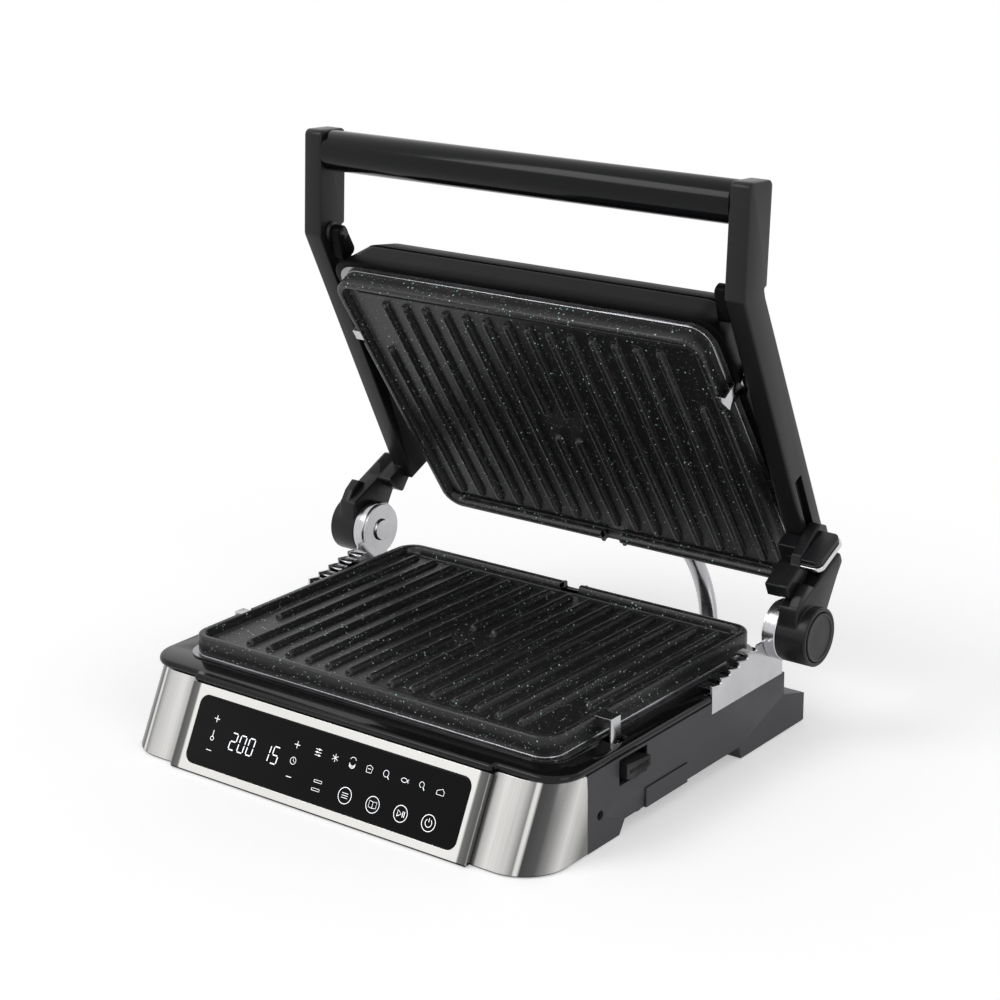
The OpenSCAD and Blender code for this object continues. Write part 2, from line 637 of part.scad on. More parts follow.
module pin_clips() {
    color("#77777c") both_sides() difference() {
        bar_x(pocket_in + side_gap, pocket_in + side_gap + clip_t, hinge_y, hinge_z, pin_d + 6);
        bar_x(pocket_in, pin_out, hinge_y, hinge_z, pin_d);
    }
}
module bracket_screws() {
    color("#9d9da2") both_sides() for (y = bracket_screw_y) {
        bar_x(leg_x - bracket_t, leg_x + 1.8, y, bracket_z0 - 9, 4);
        bar_x(leg_x - bracket_t - 2.4, leg_x - bracket_t, y, bracket_z0 - 9, 7.5);
    }
}
module base_screws() {
    color("#8f8f94") for (p = pan_screws) translate(p) {
        translate([0, 0, -head_t]) cylinder(d = head_d, h = head_t, $fn = 32);
        cylinder(d = screw_d - 0.1, h = 9, $fn = 32);
    }
}

// ---- lower catch: steel hook and black button on one rocker ----
catch_x = 154;
catch_z = wall_z - 3.5;
hook_t = 1.5;
module catch_hook() {
    difference() {
        union() {
            block(plate_half - 2.4, catch_x + 0.8, latch_y - 5, latch_y + 5, hook_z, hook_z + tab_t);
            block(catch_x - 0.7, catch_x + 0.8, latch_y - 5, latch_y + 5, catch_z - 2, hook_z + tab_t);
            catch_axis(catch_x, catch_z, 5, 6.4);
        }
        catch_axis(catch_x, catch_z, 6, catch_pin_d + 2 * run_gap);
    }
}
module lower_catch_hook() { color("#cfcfd2") catch_hook(); }
module lower_catch_pin() { color("#9a9aa0") catch_axis(catch_x, catch_z, ear_y + ear_t, catch_pin_d); }
module lower_catch_button() {
    color("#131315") difference() {
        union() {
            slab(half_w - 7, half_w + 4) polygon([[button_y0 + 11, button_z0 + 4], [button_y0 + 20, button_z0 + 1.5],
                [button_y1 - 3, button_z0 + 4.5], [button_y1 - 3, button_z1 - 6], [button_y0 + 11, button_z1 - 3.5]]);
            block(catch_x + 3.2, half_w - 6.9, latch_y - 5, latch_y + 5, catch_z - 4, catch_z + 1);
        }
        block(half_w + 2.4, half_w + 5, button_y0 + 14, button_y1 - 6, button_z0 + 6.5, button_z1 - 8);
    }
}

// ---- arms ----
function arm_at(s, up) = [kink_y + s * cos(arm_slope) - up * sin(arm_slope),
    kink_z + s * sin(arm_slope) + up * cos(arm_slope)];
function handle_at(s, up) = [kink_y + s * cos(handle_rise) + up * sin(handle_rise),
    kink_z + s * sin(handle_rise) - up * cos(handle_rise)];
arm_len = 214;
module arm_profile() {
    polygon([arm_at(0, 0), arm_at(arm_len, 0), arm_at(arm_len, arm_h), arm_at(12, arm_h),
        arm_at(6, arm_h + 1), handle_at(6, handle_h), handle_at(handle_len, handle_h), handle_at(handle_len, 0)]);
}
// the neck: from the arm's rear end, outside it, down to the hinge barrel; the cheek laps over the slider
function along_arm(p) = arm_at(p[0], p[1]);
hinge_s = 230.6;
hinge_up = -39.7;
neck_s = 204;
module neck_profile() {
    polygon([for (p = [[neck_s, 12], [212, 12], [217, 3], [228.6, -14.2], [243, -29], [hinge_s, hinge_up],
        [216, -51.5], [204.7, -45.5], [neck_s, -42]]) along_arm(p)]);
}
module shoulder_profile() {
    polygon([for (p = [[neck_s, 12], [212, 12], [217, 3], [222, -7], [212, -14], [neck_s, -16]]) along_arm(p)]);
}
module cheek_profile() {
    polygon([for (p = [[neck_s + 1, -22], [198.3, -27.6], [200.2, -37.1], [204.7, -45.5], [207, -40]]) along_arm(p)]);
}
neck_out = barrel_out - 7;
slot_w = 8;
slot_up = 8.4;
// middle of the slider along the arm, at the hinge end of its slot
slider_s = 190;
key_len = 8;
slot_s0 = slider_s - slider_travel - key_len / 2 - 0.5;
slot_s1 = slider_s + key_len / 2 + 0.5;
module arm_solid() {
    difference() {
        union() {
            slab(arm_in, arm_out) arm_profile();
            slab(arm_out - 8, neck_out) shoulder_profile();
            slab(barrel_in, neck_out) neck_profile();
            slab(slider_in + slider_plate_t + 0.4, neck_out) cheek_profile();
            bar_x(barrel_in, barrel_out - 1, hinge_y, hinge_z, 2 * barrel_r);
            bar_x(barrel_out - 1 - tiny, barrel_out, hinge_y, hinge_z, 2 * barrel_r - 1.6);
        }
        bar_x(barrel_in - 1, barrel_out + 1, hinge_y, hinge_z, pin_d + 2 * run_gap);
        bar_x(pocket_in, barrel_out + 1, hinge_y, hinge_z, 2 * cap_r + 0.5);
        bar_x(arm_in - 1, arm_out + 1, pivot_y, pivot_z, float_pin_d + 2 * run_gap);
    }
}
cap_r = 16;
module slot_cut() {
    slab(arm_out - 5, arm_out + 1) polygon([for (s = [slot_s0, slot_s1], e = [-1, 1])
        arm_at(s, slot_up + (s == slot_s0 ? e : -e) * slot_w / 2)]);
}
module arm_right() {
    color("#1a1a1c") arms_pose() difference() {
        arm_solid();
        slot_cut();
        bar_grip_bores();
    }
}
module arm_left() {
    color("#1a1a1c") arms_pose() mirror([1, 0, 0]) difference() {
        arm_solid();
        bar_grip_bores();
    }
}
grip_c = handle_at(handle_len - 14, handle_h / 2);
rod_d = 8;
module bar_grip_bores() { bar_x(arm_in - 1, arm_out - 4, grip_c[0], grip_c[1], rod_d); }
module grip_bar() {
    color("#0e0e10") arms_pose() difference() {
        bar_x(-arm_in, arm_in, grip_c[0], grip_c[1], grip_d);
        bar_x(-arm_in - 1, arm_in + 1, grip_c[0], grip_c[1], rod_d);
    }
}
module grip_rod() { color("#8f8f94") arms_pose() bar_x(-arm_out + 4, arm_out - 4, grip_c[0], grip_c[1], rod_d); }
module left_hinge_cap() {
    color("#0f0f11") arms_pose() mirror([1, 0, 0]) difference() {
        bar_x(pocket_in, barrel_out + 0.4, hinge_y, hinge_z, 2 * cap_r + 0.5);
        bar_x(pocket_in - 1, pin_out + 1, hinge_y, hinge_z, pin_d + 8);
    }
}
button_back = barrel_out - 6.5;
module push_button() {
    color("#151517") arms_pose() difference() {
        bar_x(button_back, barrel_out + 0.4, hinge_y, hinge_z, 2 * cap_r - 0.3);
        bar_x(button_back - 1, barrel_out - 1.8, hinge_y, hinge_z, 2 * cap_r - 8);
        bar_x(barrel_out - 0.2, barrel_out + 1, hinge_y, hinge_z, 2 * cap_r - 3.4);
    }
}
module button_spring() {
    color("#b5b5b8") arms_pose() difference() {
        bar_x(pocket_in, button_back, hinge_y, hinge_z, 2 * cap_r - 2);
        bar_x(pocket_in - 1, button_back + 1, hinge_y, hinge_z, 2 * cap_r - 6);
    }
}

// ---- height slider on the right arm, at the hinge end of its slot ----
slider_gap = 0.3;
slider_in = arm_out + slider_gap;
slider_plate_t = 8;
foot_reach = bracket_out - 1.2;
module along_slider(x0, x1, pts) {
    slab(x0, x1) polygon([for (p = pts) arm_at(slider_s + p[0], p[1])]);
}
// points are [along the arm from the slider's middle, up from the arm's lower edge]
slider_face = [[2, -40], [11.7, -40], [13, -21.5], [9.5, -13], [9.5, 9], [7, 15], [-4, 15], [-10.5, 9],
    [-8, -6], [-5.5, -17.5], [-0.5, -21.5]];
module slider_body() {
    color("#141416") arms_pose() union() {
        along_slider(slider_in, slider_in + slider_plate_t, slider_face);
        along_slider(foot_reach, slider_in + tiny, [[2, -40], [11.7, -40], [11.7, -12], [2.5, -12], [-0.5, -21.5]]);
        along_slider(arm_in + 1.5, slider_in + tiny, [[-6, -12.2], [11.7, -12.2], [9, -slider_gap], [-6, -slider_gap]]);
        along_slider(arm_out - 4.5, slider_in + tiny, [for (s = [-1, 1], e = [-1, 1])
            [s * key_len / 2, slot_up - s * e * (slot_w / 2 - slider_gap)]]);
    }
}
grip_x = slider_in + slider_plate_t;
grip_reach = 14;
grip_up0 = -21;
grip_up1 = 8;
// a flat paddle: [x, up] outline with round outer corners, s thick along the arm
module paddle(s0, s1, grow) {
    r = 4 + grow;
    a = arm_at(slider_s, 0);
    translate([0, a[0], a[1]]) rotate([arm_slope, 0, 0]) translate([0, s1, 0]) rotate([90, 0, 0]) linear_extrude(s1 - s0) {
        translate([grip_x, grip_up0 - grow]) square([grip_reach + grow - r, grip_up1 - grip_up0 + 2 * grow]);
        translate([grip_x, grip_up0 - grow + r]) square([grip_reach + grow, grip_up1 - grip_up0 + 2 * grow - 2 * r]);
        for (z = [grip_up0 - grow + r, grip_up1 + grow - r]) translate([grip_x + grip_reach + grow - r, z])
            circle(r, $fn = 48);
    }
}
module slider_grip() { color("#101012") arms_pose() paddle(-6, -1.5, 0); }
module slider_trim() { color("#d9d9dc") arms_pose() paddle(-1.5, 1.5, 1.2); }

// ---- lid, drawn shut: the plate's rim faces down at lid_rim_z ----
lid_seat = lid_rim_z + plate_t;
lid_front = plate_front - 6.5;
lid_back = plate_back + 5;
lid_top = lid_rim_z + lid_h;
lid_shoulder = lid_rim_z + 38;
lid_taper = 9;
// four screws pass up through the housing's inner shelf into bosses under the steel cover
lid_shelf = 3;
lid_screw_d = 3.4;
lid_boss_h = 4;
module at_lid_screws() {
    for (x = [-1, 1], y = [plate_front + 24, plate_back - 24])
        translate([x * (lid_half - lid_taper - 4.5), y, lid_shoulder - lid_shelf]) children();
}
module lid_outline(inset) {
    round_rect(-lid_half + inset, lid_half - inset, lid_front + inset, lid_back - inset, plate_r + 4 - inset / 3);
}
module lid_loft(z0, z1, i0, i1) {
    hull() {
        translate([0, 0, z0]) linear_extrude(tiny) lid_outline(i0);
        translate([0, 0, z1 - tiny]) linear_extrude(tiny) lid_outline(i1);
    }
}
module lid_housing() {
    color("#1b1b1d") lid_pose() difference() {
        union() {
            lid_loft(lid_seat + flange_t, lid_shoulder, 0, lid_taper - 2);
            both_sides() lid_lug();
            for (y = [latch_y - ear_y - ear_t, latch_y + ear_y])
                block(lid_catch_x - 3.5, lid_half - 3, y, y + ear_t, up_catch_z - 3.5, up_catch_z + 5);
        }
        lid_loft(lid_seat + flange_t - 1, lid_shoulder - lid_shelf, 4, lid_taper + 1);
        translate([0, 0, lid_shoulder - 5]) linear_extrude(10) lid_outline(lid_taper + 8);
        both_sides() bar_x(lid_half - 7, arm_in + 1, pivot_y, pivot_z, float_pin_d + 2 * run_gap);
        translate([hose_lid_x, lid_wall_y, lid_hose_z]) rotate([lid_side_lean - 90, 0, 0]) translate([0, 0, -12])
            cylinder(d = gland_d, h = 24, $fn = 48);
        both_sides() block(plate_half + 1, lid_half + 5, latch_y - ear_y, latch_y + ear_y, lid_seat - 1, lid_seat + 20);
        lid_catch_axis(10, catch_pin_d);
        at_lid_screws() translate([0, 0, -1]) cylinder(d = lid_screw_d + 0.2, h = lid_shelf + 2, $fn = 32);
    }
}
module lid_lug() {
    slab(lid_half - 6, arm_in - 2.6) polygon([[pivot_y - 7, pivot_z - 7], [lid_front + 12, lid_seat + 4],
        [lid_front + 12, lid_shoulder - 4], [pivot_y - 7, pivot_z + 7]]);
}
module lid_cover() {
    color("#bdbbb6") lid_pose() difference() {
        union() {
            difference() {
                union() {
                    lid_loft(lid_shoulder, lid_top - 4, lid_taper - 2, lid_taper + 8);
                    lid_loft(lid_top - 4 - tiny, lid_top, lid_taper + 8, lid_taper + 20);
                }
                lid_loft(lid_shoulder - 1, lid_top - 5, lid_taper, lid_taper + 10);
            }
            at_lid_screws() translate([0, 0, lid_shelf]) cylinder(d = 7, h = lid_boss_h, $fn = 32);
        }
        at_lid_screws() cylinder(d = lid_screw_d + 0.1, h = lid_shelf + lid_boss_h - 0.3, $fn = 32);
    }
}
module upper_reflector() {
    color("#b8b8b8") lid_pose() translate([0, 0, lid_seat + flange_t]) mirror([0, 0, 1]) reflector();
}
module upper_plate() { color("#2b2b2d") lid_pose() translate([0, 0, lid_rim_z]) mirror([0, 0, 1]) casting(); }
module upper_heater() {
    color("#8d8a86") lid_pose() translate([0, 0, lid_rim_z + plate_t + 0.6]) mirror([0, 0, 1]) heater();
}
module upper_sensor() {
    color("#c2bdb2") lid_pose() translate([0, 0, lid_rim_z + face_drop + floor_t + 5.3]) mirror([0, 0, 1]) sensor();
}
hook_up_z = lid_rim_z + 1.9 - 0.2;
module upper_fixed_tab() {
    color("#c6c6c6") lid_pose() mirror([1, 0, 0]) {
        block(plate_half - 2.4, plate_half + 4.4, latch_y - 4, latch_y + 4, hook_up_z - tab_t, hook_up_z);
        block(plate_half + 3, plate_half + 4.4, latch_y - 4, latch_y + 4, hook_up_z - tab_t, lid_seat + 16);
    }
}
up_catch_z = lid_seat + 8;
lid_catch_x = plate_half + 4.2;
module lid_catch_axis(half, d) {
    catch_axis(lid_catch_x, up_catch_z, half, d);
}
module upper_catch_hook() {
    color("#cfcfd2") lid_pose() difference() {
        union() {
            block(plate_half - 2.4, lid_catch_x + 0.75, latch_y - 5, latch_y + 5, hook_up_z - tab_t, hook_up_z);
            block(lid_catch_x - 0.75, lid_catch_x + 0.75, latch_y - 5, latch_y + 5, hook_up_z - tab_t, up_catch_z + 2);
            lid_catch_axis(5, 5.4);
        }
        lid_catch_axis(6, catch_pin_d + 2 * run_gap);
    }
}
module upper_catch_pin() { color("#9a9aa0") lid_pose() lid_catch_axis(ear_y + ear_t, catch_pin_d); }
module upper_catch_button() {
    color("#131315") lid_pose() difference() {
        union() {
            block(lid_catch_x + 0.75, lid_half + 2.5, latch_y - 5, latch_y + 5, up_catch_z + 2.9, up_catch_z + 11);
            block(lid_catch_x - 0.75, lid_catch_x + 1, latch_y - 5, latch_y + 5, up_catch_z + 2, up_catch_z + 11);
        }
        lid_catch_axis(6, 5.8);
    }
}
module float_pins() {
    color("#a8a8ac") arms_pose() both_sides() {
        bar_x(lid_half - 6, arm_out - 1.5, pivot_y, pivot_z, float_pin_d);
        bar_x(arm_in - 2.3, arm_in - 0.3, pivot_y, pivot_z, float_pin_d + 6);
    }
}
module lid_screws() {
    color("#8f8f94") lid_pose() at_lid_screws() {
        translate([0, 0, -2.4]) cylinder(d = lid_screw_d + 3, h = 2.4, $fn = 32);
        cylinder(d = lid_screw_d, h = lid_shelf + lid_boss_h - 0.4, $fn = 32);
    }
}

// ---- wiring conduit from the base to the lid ----
hose_x = 96;
hose_y = 137;
hose_lid_x = 30;
gland_d = 19;
gland_out = 5;
gland_lift = 0.1;
lid_hose_z = lid_seat + 14;
module gland() {
    difference() {
        union() {
            translate([0, 0, -6]) cylinder(d = gland_d - 0.2, h = 7, $fn = 48);
            cylinder(d = gland_d + 3, h = 2, $fn = 48);
            cylinder(d = hose_d + 4, h = gland_out, $fn = 48);
        }
        translate([0, 0, -7]) cylinder(d = hose_d - 3, h = 20, $fn = 48);
    }
}
module conduit_gland() { color("#1c1c1f") on_ledge(hose_x) gland(); }
module lid_gland() {
    color("#1c1c1f") lid_pose() translate([hose_lid_x, lid_wall_y, lid_hose_z]) rotate([lid_side_lean - 90, 0, 0])
        translate([0, 0, gland_lift]) gland();
}
lid_side_lean = atan((lid_taper - 2) / (lid_shoulder - lid_seat - flange_t));
lid_wall_y = lid_back - (lid_hose_z - lid_seat - flange_t) * tan(lid_side_lean);
function turn(p, c, a) = [c[0] + (p[0] - c[0]) * cos(a) - (p[1] - c[1]) * sin(a),
    c[1] + (p[0] - c[0]) * sin(a) + (p[1] - c[1]) * cos(a)];
function rest_of(p) = turn(turn(p, [pivot_y, pivot_z], float_angle), [hinge_y, hinge_z], -open_angle);
ledge_at = [hose_y, ledge_hi - (hose_y - upper_back) * tan(ledge_slope)];
base_dir = [0, sin(ledge_slope), cos(ledge_slope)];
hose_a = [hose_x, ledge_at[0], ledge_at[1]] + gland_out * base_dir;
lid_turn = float_angle - open_angle + lid_side_lean;
lid_dir = [0, cos(lid_turn), sin(lid_turn)];
lid_mouth = rest_of([lid_wall_y, lid_hose_z]);
hose_b = [hose_lid_x, lid_mouth[0], lid_mouth[1]] + (gland_out + gland_lift) * lid_dir;
// straight for one diameter at each end, and one smooth curve between
bend_a = hose_a + hose_d * base_dir;
bend_b = hose_b + hose_d * lid_dir;
hose_pull = (0.2 + hose_slack) * norm(bend_b - bend_a);
function hose_at(t) = pow(1 - t, 3) * bend_a + 3 * pow(1 - t, 2) * t * (bend_a + hose_pull * base_dir)
    + 3 * (1 - t) * t * t * (bend_b + hose_pull * lid_dir) + t * t * t * bend_b;
function unit(v) = v / norm(v);
hose_n = 18;
hose_sides = 12;
hose_cuts = [0, 8, 14, hose_n + 2];
function ring_mid(i) = i == 0 ? hose_a : i == hose_n + 2 ? hose_b : hose_at((i - 1) / hose_n);
function ring_dir(i) = i <= 1 ? base_dir : i > hose_n ? -lid_dir
    : unit(hose_at((i - 1) / hose_n + 0.01) - hose_at((i - 1) / hose_n - 0.01));
function ring(i) = let (d = ring_dir(i), u = unit(cross(d, [1, 0, 0])), v = cross(d, u))
    [for (j = [0:hose_sides - 1]) let (a = 360 * j / hose_sides) ring_mid(i) + hose_d / 2 * (cos(a) * u + sin(a) * v)];
module hose_part(i0, i1) {
    n = hose_sides;
    last = (i1 - i0) * n;
    color("#a9a9ad") polyhedron(points = [for (i = [i0:i1], p = ring(i)) p],
        faces = concat([[for (j = [0:n - 1]) j]], [[for (j = [n - 1:-1:0]) last + j]],
            [for (i = [0:i1 - i0 - 1], j = [0:n - 1], h = [0, 1]) let (a = i * n + j, b = i * n + (j + 1) % n)
                h == 0 ? [a, a + n, b] : [b, a + n, b + n]]));
}
module conduit_base() { hose_part(hose_cuts[0], hose_cuts[1]); }
module conduit_middle() { hose_part(hose_cuts[1], hose_cuts[2]); }
module conduit_lid() { hose_part(hose_cuts[2], hose_cuts[3]); }

base_tub();
bottom_pan();
rubber_feet();
deck_bezel();
front_frame();
front_panel();
corner_wrap_right();
corner_wrap_left();
display_glass();
display_board();
power_board();
terminal_block();
mains_gland();
lower_reflector();
lower_plate();
lower_heater();
lower_sensor();
lower_fixed_tab();
tray_runners();
grease_chute();
hinge_bracket_right();
hinge_bracket_left();
hinge_disc_right();
hinge_disc_left();
hinge_pin_right();
hinge_pin_left();
base_screws();
bracket_screws();
conduit_gland();
drip_tray();
lower_catch_hook();
lower_catch_button();
lower_catch_pin();
arm_right();
arm_left();
grip_bar();
grip_rod();
left_hinge_cap();
pin_clips();
push_button();
button_spring();
slider_body();
slider_grip();
slider_trim();
lid_housing();
lid_cover();
upper_reflector();
upper_plate();
upper_heater();
upper_sensor();
upper_catch_hook();
upper_catch_button();
upper_catch_pin();
upper_fixed_tab();
float_pins();
lid_screws();
lid_gland();
conduit_base();
conduit_middle();
conduit_lid();
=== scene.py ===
# %% [markdown]
# # Electric contact grill with lid
# A grill of this kind has a heated base and a heated lid that hangs between two side arms.
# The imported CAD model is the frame: it says where every piece is, in metres, and what moves with what.
# A scene could also be drawn freely and fitted by eye, but then its joints would drift from the model.

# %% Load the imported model
import json
import math
import bmesh
import bpy
from mathutils import Matrix, Vector
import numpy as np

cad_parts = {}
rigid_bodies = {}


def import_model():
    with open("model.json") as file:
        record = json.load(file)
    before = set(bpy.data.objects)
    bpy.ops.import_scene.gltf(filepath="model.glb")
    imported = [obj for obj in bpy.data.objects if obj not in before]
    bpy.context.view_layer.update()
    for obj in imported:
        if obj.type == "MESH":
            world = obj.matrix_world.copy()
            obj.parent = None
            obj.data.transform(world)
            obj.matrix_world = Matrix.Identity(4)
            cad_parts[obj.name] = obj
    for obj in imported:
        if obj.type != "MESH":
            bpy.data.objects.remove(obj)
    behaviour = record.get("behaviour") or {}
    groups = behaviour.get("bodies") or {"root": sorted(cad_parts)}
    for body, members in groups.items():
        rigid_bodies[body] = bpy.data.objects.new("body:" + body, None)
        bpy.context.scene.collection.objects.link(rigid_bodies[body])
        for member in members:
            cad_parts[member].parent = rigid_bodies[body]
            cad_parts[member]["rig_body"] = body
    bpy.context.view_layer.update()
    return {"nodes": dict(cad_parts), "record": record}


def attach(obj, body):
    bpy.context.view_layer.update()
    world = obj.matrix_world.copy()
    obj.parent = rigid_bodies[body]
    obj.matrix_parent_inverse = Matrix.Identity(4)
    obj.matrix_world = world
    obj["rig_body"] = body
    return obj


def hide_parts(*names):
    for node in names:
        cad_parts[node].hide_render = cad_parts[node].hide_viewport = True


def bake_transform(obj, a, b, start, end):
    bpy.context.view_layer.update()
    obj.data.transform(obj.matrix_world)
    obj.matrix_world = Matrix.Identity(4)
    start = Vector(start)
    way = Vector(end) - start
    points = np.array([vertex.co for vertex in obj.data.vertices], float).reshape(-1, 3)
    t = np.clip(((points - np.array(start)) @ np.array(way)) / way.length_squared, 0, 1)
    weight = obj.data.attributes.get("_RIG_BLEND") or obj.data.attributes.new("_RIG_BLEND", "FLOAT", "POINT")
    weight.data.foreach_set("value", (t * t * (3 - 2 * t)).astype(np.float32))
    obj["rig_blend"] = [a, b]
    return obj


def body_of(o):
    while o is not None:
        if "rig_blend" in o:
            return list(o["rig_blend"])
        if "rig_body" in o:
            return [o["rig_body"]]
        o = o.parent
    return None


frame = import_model()
MM = 0.001

# %% [markdown]
# ## Camera
# The photograph looks down on the grill from its front right. The camera's place, turn and lens were
# worked out from straight edges whose real lengths are known. It is written as azimuth, elevation and roll,
# which a reader can follow, rather than as a bare matrix.

# %% Camera
CAMERA_AT = Vector((0.89048, -1.11562, 0.62847))
LENS_MM = 85.64
SENSOR_MM = 36.0
AZIMUTH = math.radians(37.59)
ELEVATION = math.radians(18.15)
ROLL = math.radians(-0.57)


def camera_turn(azimuth, elevation, roll):
    """The camera's axes as a rotation: right, up and back."""
    level = math.cos(elevation)
    back = Vector((math.sin(azimuth) * level, -math.cos(azimuth) * level, math.sin(elevation)))
    right = (-back).cross(Vector((0, 0, 1))).normalized()
    up = back.cross(right)
    rolled_right = math.cos(roll) * right + math.sin(roll) * up
    rolled_up = math.cos(roll) * up - math.sin(roll) * right
    return Matrix((rolled_right, rolled_up, back)).transposed()


def put_in_scene(name, data):
    """A new object at the origin, linked to the scene."""
    made = bpy.data.objects.new(name, data)
    bpy.context.scene.collection.objects.link(made)
    return made


camera_data = bpy.data.cameras.new("camera")
camera_data.lens = LENS_MM
camera_data.sensor_width = SENSOR_MM
camera = put_in_scene("camera", camera_data)
camera.matrix_world = Matrix.Translation(CAMERA_AT) @ camera_turn(AZIMUTH, ELEVATION, ROLL).to_4x4()
bpy.context.scene.camera = camera
bpy.context.scene.view_settings.view_transform = "Standard"
print("camera at", [round(c, 3) for c in camera.matrix_world.translation])

# %% [markdown]
# ## Writing a material as sums
# A finish is easier to read as an expression, such as `0.3 + 0.1 * noise`, than as a list of nodes and
# links. A Wire stands for one output socket, and each operator on it adds one Math node. A Paint holds a
# material's tree and adds any other node: settings first, then its sockets.

# %% Wires and paints
class Wire:
    """One output socket, with arithmetic."""

    def __init__(self, paint, socket):
        self.paint = paint
        self.socket = socket

    def maths(self, operation, *values):
        node = self.paint.add("Math", {"operation": operation}, dict(enumerate(values)))
        return node["Value"]

    def __add__(self, other):
        return self.maths("ADD", self, other)

    def __mul__(self, other):
        return self.maths("MULTIPLY", self, other)

    def __sub__(self, other):
        return self.maths("SUBTRACT", self, other)

    def __rsub__(self, other):
        return self.maths("SUBTRACT", other, self)

    def below(self, other):
        return self.maths("LESS_THAN", self, other)

    __radd__ = __add__
    __rmul__ = __mul__


class Node(dict):
    """A node's outputs by name, each as a Wire."""


FINISHES = {}


class Paint:
    """A material's node tree and its Principled shader, whose plain values are set at once."""

    def __init__(self, name, **plain):
        self.material = bpy.data.materials.new(name)
        self.material.use_nodes = True
        FINISHES[name] = self.material
        self.tree = self.material.node_tree
        self.shader = self.tree.nodes["Principled BSDF"]
        for socket, value in plain.items():
            self.put(self.shader.inputs[socket.replace("_", " ")], value)

    def put(self, socket, value):
        """A link, or a plain value; a colour may be given as three numbers."""
        if isinstance(value, Wire):
            self.tree.links.new(value.socket, socket)
        elif socket.type == "RGBA":
            socket.default_value = (*value[:3], 1)
        else:
            socket.default_value = value

    def add(self, kind, settings=None, sockets=None):
        """Any node: its settings first, then the values or links of its sockets."""
        node = self.tree.nodes.new("ShaderNode" + kind)
        for key, value in (settings or {}).items():
            if key == "stops":
                marks = node.color_ramp.elements
                for mark, (place, colour) in zip(marks, (value[0], value[-1])):
                    mark.position = place
                    mark.color = (*colour, 1)
                for place, colour in value[1:-1]:
                    marks.new(place).color = (*colour, 1)
            else:
                setattr(node, key, value)
        for key, value in (sockets or {}).items():
            self.put(node.inputs[key], value)
        return Node({out.name: Wire(self, out) for out in reversed(list(node.outputs)) if out.enabled})

    def place(self, stretch=(1, 1, 1)):
        """Object coordinates in metres, stretched."""
        spot = self.add("TexCoord")["Object"]
        return self.add("Mapping", {}, {"Vector": spot, "Scale": stretch})["Vector"]

    def noise(self, per_metre, detail=2.0, stretch=(1, 1, 1), rough=0.5):
        """Smooth noise from 0 to 1."""
        sockets = {"Vector": self.place(stretch), "Scale": per_metre, "Detail": detail, "Roughness": rough}
        return self.add("TexNoise", {}, sockets)["Fac"]

    def blend(self, amount, low, high):
        """A colour between two colours."""
        sockets = {"Factor": amount, "A": low, "B": high}
        node = self.tree.nodes.new("ShaderNodeMix")
        node.data_type = "RGBA"
        for socket in node.inputs:
            if socket.enabled and socket.name in sockets:
                self.put(socket, sockets[socket.name])
        return next(Wire(self, out) for out in node.outputs if out.enabled)

    def done(self, colour, roughness, height=None, depth=0.0, edge=0.0, **more):
        """Links the finish, with a softened edge and a bump of that depth in metres."""
        self.put(self.shader.inputs["Base Color"], colour)
        self.put(self.shader.inputs["Roughness"], roughness)
        for socket, value in more.items():
            self.put(self.shader.inputs[socket.replace("_", " ")], value)
        normal = None
        if edge:
            normal = self.add("Bevel", {"samples": 6}, {"Radius": edge})["Normal"]
        if height is not None:
            sockets = {"Height": height, "Distance": depth, "Strength": 1.0}
            if normal:
                sockets["Normal"] = normal
            normal = self.add("Bump", {}, sockets)["Normal"]
        if normal:
            self.put(self.shader.inputs["Normal"], normal)
        return self.material

# %% [markdown]
# ## Plastics
# Moulded plastic is never one flat grey. Its surface takes a fine spark-eroded grain from the mould,
# its tone drifts a little over a long wall, and handling leaves faint glossier patches.
# Three noises of different size do this: one for the tone, one for the gloss and one for the grain.

# %% Moulded plastics
def moulded(name, colour, roughness, grain, depth, edge, specular):
    """Grained plastic: grains to a metre, their depth and the softened edge in metres, and the sheen."""
    paint = Paint(name, IOR=1.46, Specular_IOR_Level=specular)
    drift = paint.noise(9.0, 3.0)
    smears = paint.noise(38.0, 4.0, rough=0.65)
    grains = paint.noise(grain, 1.0)
    light = [min(1.0, c * 1.22 + 0.003) for c in colour]
    dark = [c * 0.84 for c in colour]
    tone = paint.blend(drift * 0.75 + grains * 0.25, dark, light)
    return paint.done(tone, roughness + 0.14 * (smears - 0.5), grains, depth, edge)


INK = (0.0025, 0.0025, 0.003)
COARSE = 0.00003
FINE = 0.000016
POLISH = 0.000006
moulded("grey_plastic", (0.044, 0.041, 0.048), 0.46, 2600, COARSE, 0.0005, 0.3)
moulded("black_plastic", (0.009, 0.009, 0.01), 0.42, 2200, COARSE, 0.0005, 0.22)
SATIN_BLACK = moulded("satin_black", (0.0075, 0.0078, 0.0088), 0.33, 3200, FINE, 0.0009, 0.3)
moulded("gloss_black", INK, 0.12, 700, POLISH, 0.0008, 0.28)
LID_BLACK = moulded("lid_black", INK, 0.36, 3200, FINE, 0.0009, 0.05)
GRIP_BLACK = moulded("grip_black", (0.0025, 0.0028, 0.0036), 0.14, 900, POLISH, 0.0006, 0.2)
print("plastics", *FINISHES)
